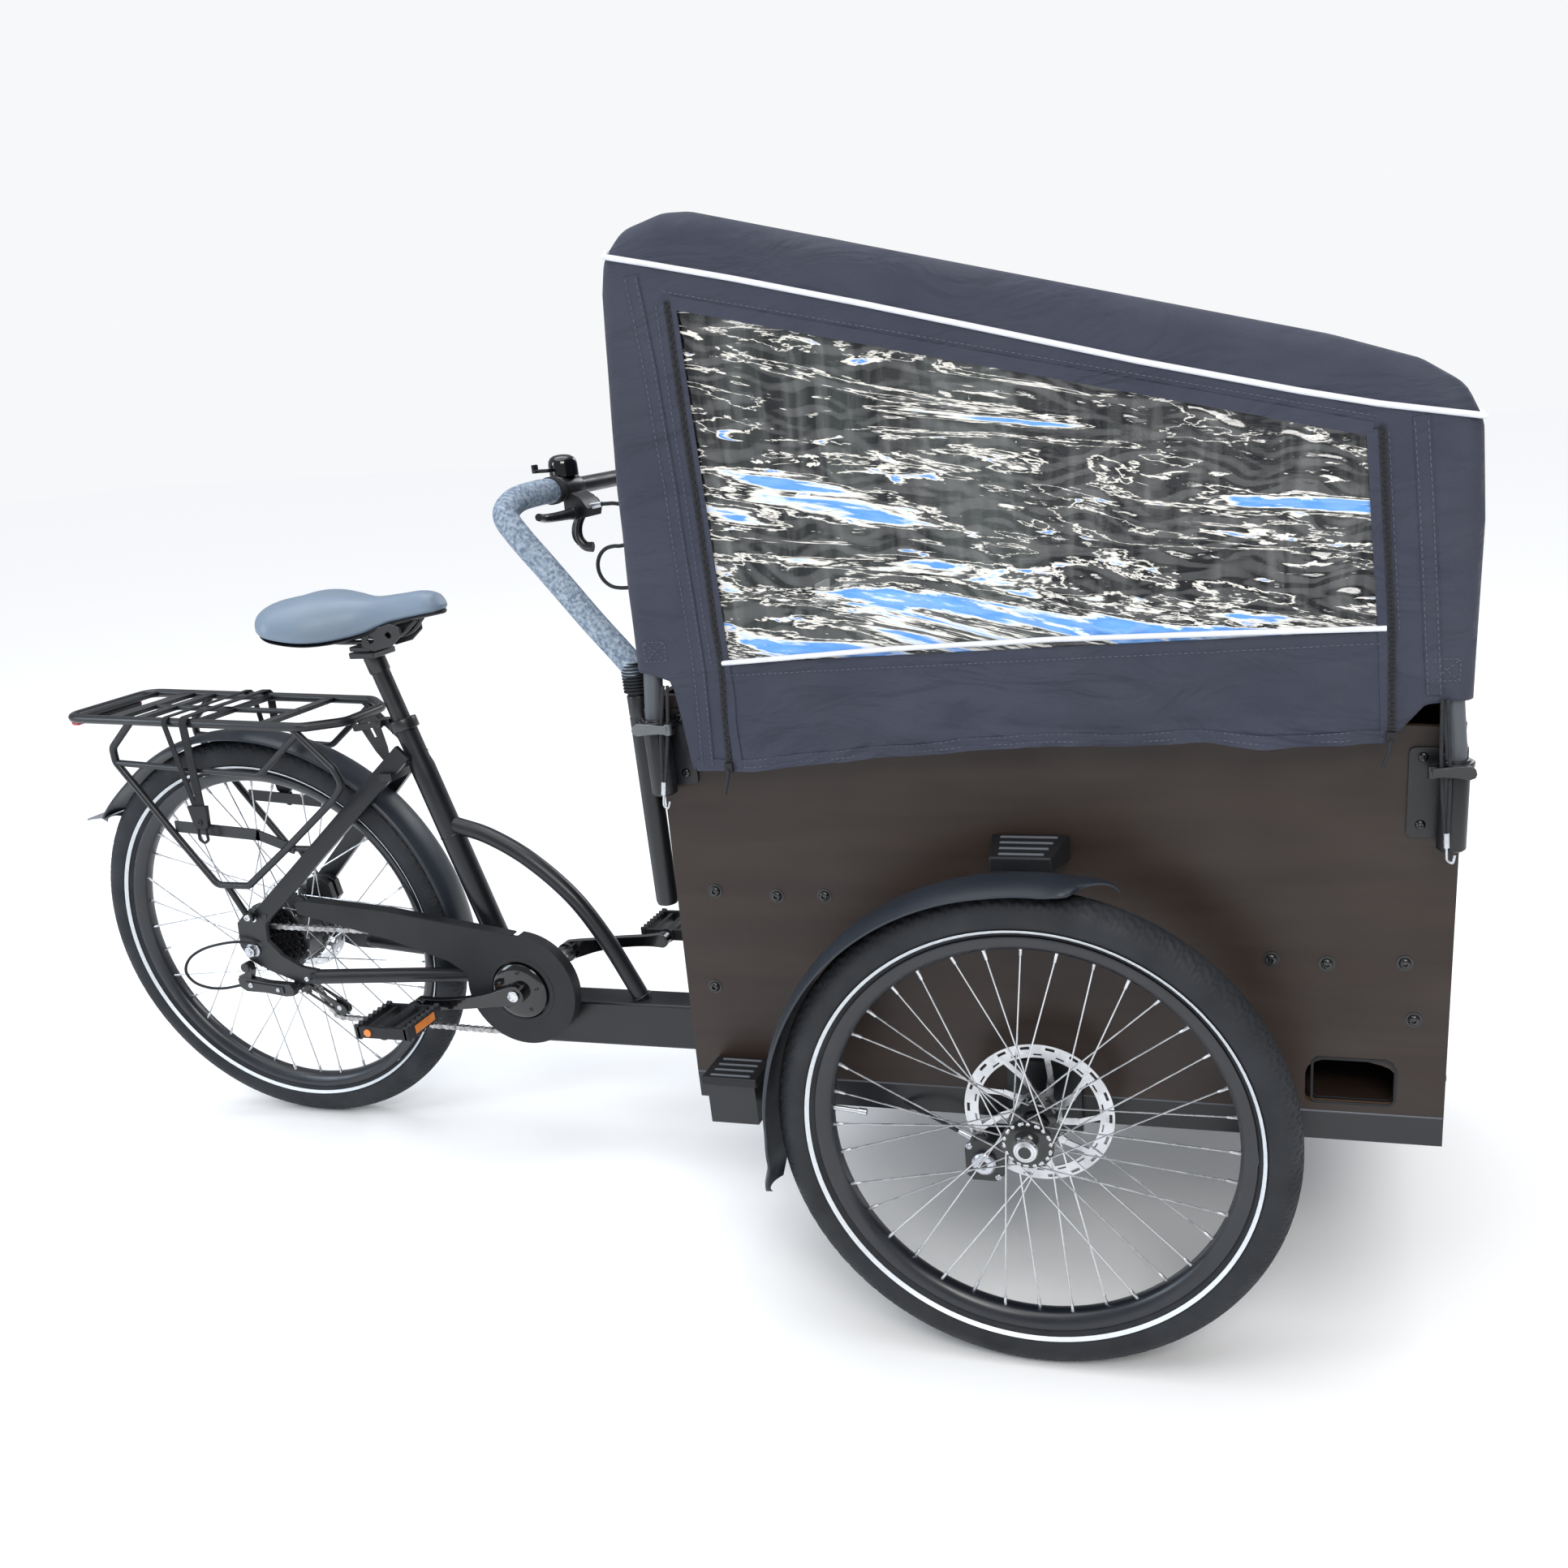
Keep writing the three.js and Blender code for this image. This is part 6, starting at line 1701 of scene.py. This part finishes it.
ROWS = (16, 36, 10)
COLUMNS = (14, 88, 14)


def canopy_stops(profile):
    """Distances along the profile that line up with the side panel's rows and columns."""
    marks = [0.0, profile.nearest((-450, 905)), profile.nearest((-433, 1222)), profile.nearest((-412, 1284)),
             profile.nearest((-345, 1309)), profile.nearest((355, 1132)), profile.nearest((447, 1078)),
             profile.nearest((459, 1000)), profile.nearest((459, 866)), profile.length]
    counts = [*ROWS, *COLUMNS, *ROWS[::-1]]
    stops = []
    for a, b, count in zip(marks, marks[1:], counts):
        stops += [a + (b - a) * k / count for k in range(count)]
    return stops + [marks[-1]]


def canopy_cloth(profile):
    """One sheet: both sides with their window openings, and the back, roof and front between them."""
    stops = canopy_stops(profile)
    inset = []
    for s in stops:
        p = profile.at(s) + profile.inward(s) * profile.radius(s)
        inset.append((p.x, p.y))
    r0, r1, r2 = ROWS
    c0, c1, c2 = COLUMNS
    rear = inset[:sum(ROWS) + 1]
    top = inset[sum(ROWS):sum(ROWS) + sum(COLUMNS) + 1]
    front = inset[sum(ROWS) + sum(COLUMNS):][::-1]
    hem_left = along_line([rear[0], *HEM[:4]], c0)
    hem_mid = along_line(HEM[3:13], c1)
    hem_right = along_line([HEM[12], HEM[13], front[0]], c2)
    bl, br, tl, tr = (WINDOW[k] for k in ("bottom_left", "bottom_right", "top_left", "top_right"))
    blocks = [
        (hem_left, lerp2(rear[r0], bl, c0), rear[:r0 + 1], lerp2(hem_left[-1], bl, r0)),
        (hem_mid, lerp2(bl, br, c1), lerp2(hem_left[-1], bl, r0), lerp2(hem_mid[-1], br, r0)),
        (hem_right, lerp2(br, front[r0], c2), lerp2(hem_mid[-1], br, r0), front[:r0 + 1]),
        (lerp2(rear[r0], bl, c0), lerp2(rear[r0 + r1], tl, c0), rear[r0:r0 + r1 + 1], lerp2(bl, tl, r1)),
        (lerp2(br, front[r0], c2), lerp2(tr, front[r0 + r1], c2), lerp2(br, tr, r1), front[r0:r0 + r1 + 1]),
        (lerp2(rear[r0 + r1], tl, c0), top[:c0 + 1], rear[r0 + r1:], lerp2(tl, top[c0], r2)),
        (lerp2(tl, tr, c1), top[c0:c0 + c1 + 1], lerp2(tl, top[c0], r2), lerp2(tr, top[c0 + c1], r2)),
        (lerp2(tr, front[r0 + r1], c2), top[c0 + c1:], lerp2(tr, top[c0 + c1], r2), front[r0 + r1:]),
    ]
    side = Shape()
    for block in blocks:
        grid = coons(*block)
        points = [side_place(x, z) for line in grid for x, z in line]
        side.add(points, grid_faces(len(grid), len(grid[0])))
    shape = side.mirrored()
    turn_steps, wide_steps = 6, 60
    points, columns = [], 0
    for s in stops:
        base, into = profile.at(s), profile.inward(s)
        radius = profile.radius(s)
        centre = base + into * radius
        half = -side_place(centre.x, centre.y).y - radius
        corner = []
        for k in range(1, turn_steps + 1):
            angle = math.pi / 2 * k / turn_steps
            p = centre - into * (radius * math.cos(angle))
            corner.append((p.x, half + radius * math.sin(angle), p.y))
        row = [(x, -y, z) for x, y, z in corner[::-1]]
        for k in range(wide_steps + 1):
            y = -half + 2 * half * k / wide_steps
            fall = 1 - (abs(y) / half) ** 2
            span = math.sin(math.pi * min(1.0, max(0.0, (base.x - BARS[0][0]) / (BARS[1][0] - BARS[0][0]))))
            folds = 4.5 * noise.noise(Vector((s / 150, y / 200, 31.0)))
            folds += 1.6 * noise.noise(Vector((s / 60 + y / 150, y / 90, 37.0)))
            sag = fall * 9 * span + folds * min(1, fall * 3) * (0.2 + 0.8 * span)
            p = base + into * sag
            row.append((p.x, y, p.y))
        row += corner
        columns = len(row)
        points += row
    faces = [(a, d, c, b) for a, b, c, d in grid_faces(len(stops), columns)]
    shape.add(points, faces)
    first = turn_steps + 8
    between = slice(first, columns - first)
    for hem, way in ((points[:columns][between], -1), (points[-columns:][between], 1)):
        rows = []
        for r in range(FLAP_ROWS + 1):
            fall = (hem[0][2] - FLAP_FOOT) * r / FLAP_ROWS
            line = []
            for x, y, z in hem:
                wave = 2.2 * noise.noise(Vector((y / 60, r / 5, x / 300))) * r / FLAP_ROWS
                line.append((x + way * (0.15 * r + abs(wave)), y, z - fall))
            rows.append(line)
        if way < 0:
            rows.reverse()
        faces = [(a, d, c, b) for a, b, c, d in grid_faces(len(rows), len(hem))]
        shape.add([p for line in rows for p in line], faces)
    cover = shape.make("canopy_cover_cloth", "canvas", "canopy", "canvas", ("canopy_cover",), smooth=180,
                       closed=False, weld=True)
    shell = cover.modifiers.new("cloth", "SOLIDIFY")
    shell.thickness = CLOTH * MM
    shell.offset = -1
    return cover


def canopy_film():
    """The crinkled clear window, tucked a little way under the cloth round it."""
    bl, br, tl, tr = (Vector(WINDOW[k]) for k in ("bottom_left", "bottom_right", "top_left", "top_right"))
    wide, high, tuck = 220, 96, 7
    bl, br = bl + Vector((-tuck, -tuck)), br + Vector((tuck, -tuck))
    tl, tr = tl + Vector((-tuck, tuck)), tr + Vector((tuck, tuck))
    points = []
    for i in range(high + 1):
        v = i / high
        for j in range(wide + 1):
            u = j / wide
            p = bl.lerp(br, u).lerp(tl.lerp(tr, u), v)
            fade = smooth_step(min(u, 1 - u) * 22) * smooth_step(min(v, 1 - v) * 12)
            warp = noise.noise(Vector((p.x / 70, p.y / 60, 4.0)))
            line = (p.y + 0.16 * p.x) / 17 + 1.6 * warp
            crease = 1 - abs(noise.noise(Vector((p.x / 85, line, 8.0)))) * 2.6
            fine = 1 - abs(noise.noise(Vector((p.x / 30, line * 2.1, 18.0)))) * 2.4
            broad = noise.noise(Vector((p.x / 150, p.y / 120, 2.0)))
            out = fade * (2.6 * crease + 1.1 * fine + 3.0 * broad - 2.5)
            points.append(side_place(p.x, p.y, -CLOTH - 0.5 + max(out, -3.6)))
    film = Shape().add(points, grid_faces(high + 1, wide + 1))
    pair(film, "window_film", "window_film", "canopy", None, smooth=180, closed=False)


def ribbon(shape, path, width, lift):
    """A flat strip lying on the side cloth along a line of (x, z) corners."""
    line = along_line(path, max(2, int(running(path)[-1] / RIBBON_STEP)))
    points = []
    for i, (x, z) in enumerate(line):
        x0, z0 = line[max(i - 1, 0)]
        x1, z1 = line[min(i + 1, len(line) - 1)]
        run = math.hypot(x1 - x0, z1 - z0)
        nx, nz = -(z1 - z0) / run, (x1 - x0) / run
        for side, depth in ((-1, lift), (1, lift), (1, lift - RIBBON), (-1, lift - RIBBON)):
            points.append(side_place(x + nx * side * width / 2, z + nz * side * width / 2, depth))
    shape.add(points, ring_faces(len(line), 4))


def stitches(shape, path, lift=0.9, pitch=6.5, long=3.8):
    """A row of single thread dashes along a line on the side cloth."""
    line = along_line(path, int(running(path)[-1] / pitch))
    for (x0, z0), (x1, z1) in zip(line, line[1:]):
        run = math.hypot(x1 - x0, z1 - z0)
        ux, uz = (x1 - x0) / run, (z1 - z0) / run
        a, b = side_place(x0, z0, lift), side_place(x0 + ux * long, z0 + uz * long, lift)
        across_path = Vector((-uz, 0, ux)) * 0.55
        out = Vector((0, -0.5, 0))
        shape.add([a + across_path, a - across_path, b - across_path, b + across_path,
                   a.lerp(b, 0.5) + out], [(0, 1, 4), (1, 2, 4), (2, 3, 4), (3, 0, 4), (3, 2, 1, 0)])


def canopy_trim(profile):
    """Zips, bound window edges and rows of stitching, and then the piping."""
    bl, br, tl, tr = (WINDOW[k] for k in ("bottom_left", "bottom_right", "top_left", "top_right"))
    bound = Shape()
    for path in ([bl, tl], [tl, tr], [tr, br]):
        ribbon(bound, path, 13, 1.2)
    ribbon(bound, [(-333, 722), (bl[0] + 1, bl[1])], 12, 1.2)
    ribbon(bound, [(376, 756), br], 12, 1.2)
    ribbon(bound, REAR_SEAM, 16, 1.0)
    ribbon(bound, FRONT_SEAM, 16, 1.0)
    hem = [(-386, 724), *[(x, z + 7) for x, z in HEM[3:13]]]
    ribbon(bound, hem, 14, 1.1)
    pair(bound, "canopy_bands", "canvas", "canopy", "canvas", smooth=50)
    end_hems = Shape()
    for x, out in ((-455.4, -1), (463.4, 1)):
        end_hems.strip([(x, y, 736) for y in range(-244, 245, 8)], 15, 1.6)
        for z in (731, 741):
            for y in range(-240, 241, 8):
                end_hems.strip([(x + out * 1.1, y, z), (x + out * 1.1, y + 5, z)], 1.1, 0.9, kind=1)
    end_hems.make("canopy_end_hems", ["canvas", "thread"], "canopy", "canvas", smooth=40)
    zips = Shape()
    for path in ([(-345, 718), (-341, 842), (-352, 1222)], [(381, 752), (377, 866), (361, 1060)]):
        ribbon(zips, path, 7, 2.0)
        for number, (x, z) in enumerate(along_line(path, int(running(path)[-1] / ZIP_PITCH))):
            p = side_place(x + (0.9 if number % 2 else -0.9), z, 2.4)
            zips.block((p.x - 1.6, p.x + 1.6), (p.y - 0.9, p.y + 0.6), (p.z - 1.2, p.z + 1.2), 1)
    for x, z in ((-344, 722), (380, 757)):
        p = side_place(x, z, 3.6)
        zips.block((p.x - 4.5, p.x + 4.5), (p.y - 2.4, p.y + 1.6), (p.z - 5, p.z + 6), 1)
        zips.tube(bend([(p.x, p.y - 2.6, p.z - 2), (p.x - 2, p.y - 4.5, p.z - 14),
                        (p.x - 7, p.y - 4.6, p.z - 30)],
                       6, 3), 1.9, 10, 0)
    pair(zips, "canopy_zips", ["canvas_trim", "black_plastic"], "canopy", "webbing", smooth=40)
    thread = Shape()
    for path in ([(x - 16, z) for x, z in (bl, tl)], [(x + 14, z) for x, z in (br, tr)],
                 [(tl[0] - 6, tl[1] + 11), (tr[0] + 6, tr[1] + 11)],
                 [(bl[0], bl[1] - 13), (br[0], br[1] - 13)],
                 [(x, z + 5) for x, z in HEM[3:13]], [(x, z + 13) for x, z in HEM[3:13]]):
        stitches(thread, path)
    for shift in (-6, 6):
        for seam in ([(-372, 724), *REAR_SEAM[1:]], [*FRONT_SEAM[:3], (396, 1066)]):
            stitches(thread, [(x + shift, z) for x, z in seam], 1.9)
    for x, z in ((430, 814), (-420, 846)):
        corner = [(x - 13, z), (x + 13, z), (x + 13, z + 22), (x - 13, z + 22), (x - 13, z)]
        stitches(thread, corner, 1.0, 5, 3)
        stitches(thread, [(x - 13, z), (x + 13, z + 22)], 1.0, 5, 3)
        stitches(thread, [(x + 13, z), (x - 13, z + 22)], 1.0, 5, 3)
    pair(thread, "canopy_stitching", "thread", "canopy", None, smooth=30)
    piping(profile)


def piping(profile):
    """A white cord right round the roof's edge, and one under each window."""
    dense = along_line(PIPING, 110)
    turns = []
    for target, back in ((dense[0], 6), (dense[-1], -5)):
        spot = profile.nearest(target)
        corner = profile.at(spot) - profile.inward(spot)
        turns.append((Vector((corner.x + back, 3 - CANOPY_Y, corner.y)),
                      Vector((corner.x, PIPING_TURN - CANOPY_Y, corner.y))))
    half = [*turns[0][::-1], *[side_place(x, z, 0.8) for x, z in dense], *turns[1]]
    rear, front = turns[0][1], turns[1][1]
    flip = Matrix.Diagonal((1, -1, 1))
    steps = [k / 40 for k in range(1, 40)]
    loop = [*half, *[front.lerp(flip @ front, t) for t in steps], *[flip @ p for p in half[::-1]],
            *[(flip @ rear).lerp(rear, t) for t in steps], half[0]]
    shape = Shape().tube(loop, 3.0, 12)
    bl, br = WINDOW["bottom_left"], WINDOW["bottom_right"]
    low = along_line([(bl[0] - 2, bl[1] + 1), (-139, 856), (40, 863), (207, 866), (br[0] + 2, br[1] + 2)], 90)
    line = [side_place(x, z, 0.6) for x, z in low]
    shape.tube(line, 3.0, 12)
    shape.tube([flip @ p for p in line], 3.0, 12)
    shape.make("canopy_piping", "piping", "canopy", "canvas", smooth=60)


def canopy_poles():
    half = Shape()
    half.tube(bend([(-439, -SOCKET_Y, 692), (-439, -SOCKET_Y, 780), (-433, -SOCKET_Y, 835),
                    (-410, -SOCKET_Y, 1246), (-345, -SOCKET_Y, 1288), (305, -SOCKET_Y, 1129),
                    (432, -SOCKET_Y, 1066), (439, -SOCKET_Y, 800), (445, -SOCKET_Y, 738),
                    (445, -SOCKET_Y, 640)], 34, 7), 10.9, 24)
    for x, z in BARS:
        half.lathe([(11, -9), (12, -9), (12, 9), (11, 9)], (x, -SOCKET_Y + 1, z), (0.97, 0, -0.24), 28, 1)
    shape = half.mirrored()
    for x, z in (*BARS, (-411, 1240), (431, 1062)):
        shape.tube([(x, -SOCKET_Y, z), (x, SOCKET_Y, z)], 8, 20)
    shape.make("canopy_poles", ["pole_paint", "black_plastic"], "canopy", "pole", ("canopy_frame",))


# ---------------------------------------------------------------- cables and cords
def free_cord(name, points, radius, body, look=("rubber", "black_plastic")):
    """A cable along a smooth line; look is its surface and its slot."""
    path = curve(points, 6)
    surface, slot = look
    piece = Shape().tube(path, radius, 12).make(name, surface, body, slot, smooth=60)


def elastic_pair(name, start, end, body):
    """A loop of elastic from the canopy's hem to a hook under the clamp, with a crimp above the hook."""
    for side, sign in (("right", 1), ("left", -1)):
        a = Vector((start[0], start[1] * sign, start[2]))
        b = Vector((end[0], end[1] * sign, end[2]))
        ahead = (b - a).normalized()
        hook = Shape()
        hook.tube([b - ahead * 4, b + ahead * 12], 3.4, 14, 0)
        hook.tube(bend([b + ahead * 10, b + ahead * 26, b + ahead * 30 + Vector((6, 0, 0)),
                        b + ahead * 20 + Vector((8, 0, 0))], 5, 4), 1.5, 10, 0)
        piece = hook.make(f"{name}_hook_{side}", "alloy", body, "alloy")
        for number, shift in enumerate((-2.6, 2.6)):
            strand = [a + Vector((shift, 0, 0)), a.lerp(b, 0.5) + Vector((shift * 1.6, -1.0 * sign, 0)),
                      b + Vector((shift * 0.6, 0, 0))]
            free_cord(f"{name}_{number + 1}_{side}", strand, 2.0, body, ("elastic", "webbing"))


def cables():
    """The brake and gear cables that show, each from its fitting to where it goes into the object."""
    for side, sign in (("right", 1), ("left", -1)):
        ahead = [polar((-536, 982), 26, 90 - 180 * k / 7) for k in range(8)]
        back = [polar((-545, 930), 26, 90 + 180 * k / 7) for k in range(8)]
        loop = [(-556, -176, 1008), (-546, -176, 1008), *[(x, -176, z) for x, z in ahead],
                *[(x, -175, z) for x, z in back], (-530, -178, 904.5), (-516, -184, 907), (-503, -193, 909.5),
                (-490, -206, 909.5), (-479, -222, 905), (-471, -239, 896), (-466, -257, 882),
                (-466, -273, 866), (-469, -288, 850)]
        free_cord(f"brake_cable_{side}", [(x, y * sign, z) for x, y, z in loop], 2.4, "handlebar")
        run = [(-102, -352, 261), (-116, -351, 267), (-132, -348, 274), (-148, -343, 278), (-163, -335, 279),
               (-175, -325, 278), (-184, -312, 277)]
        free_cord(f"front_caliper_cable_{side}", [(x, y * sign, z) for x, y, z in run], 2.4, "front_carrier")
    gear = [(-1322, -80, 342), (-1350, -86, 347), (-1382, -92, 344), (-1414, -96, 335), (-1440, -99, 319),
            (-1452, -100, 297), (-1442, -99, 278), (-1420, -96, 268), (-1394, -92, 266), (-1366, -86, 270),
            (-1352, -85, 273)]
    free_cord("gear_cable", gear, 2.2, "rear_frame")


SURFACES = make_surfaces()
camera()
studio()
for wheel_side in (-1, 1):
    front_wheel(wheel_side)
rear_wheel()
main_frame()
rear_fender()
rear_rack()
strap()
chain()
chain_guard()
derailleur()
rear_small_parts()
seat_parts()
crank_parts()
cargo_box()
front_calipers()
front_fenders()
corners()
handlebar()
PROFILE = Profile()
canopy_cloth(PROFILE)
canopy_film()
canopy_trim(PROFILE)
canopy_poles()
elastic_pair("rear_elastic", (-412, -353, 818), (-430, -354, 700), "canopy")
elastic_pair("front_elastic", (430, -353, 796), (438, -354, 652), "canopy")
cables()
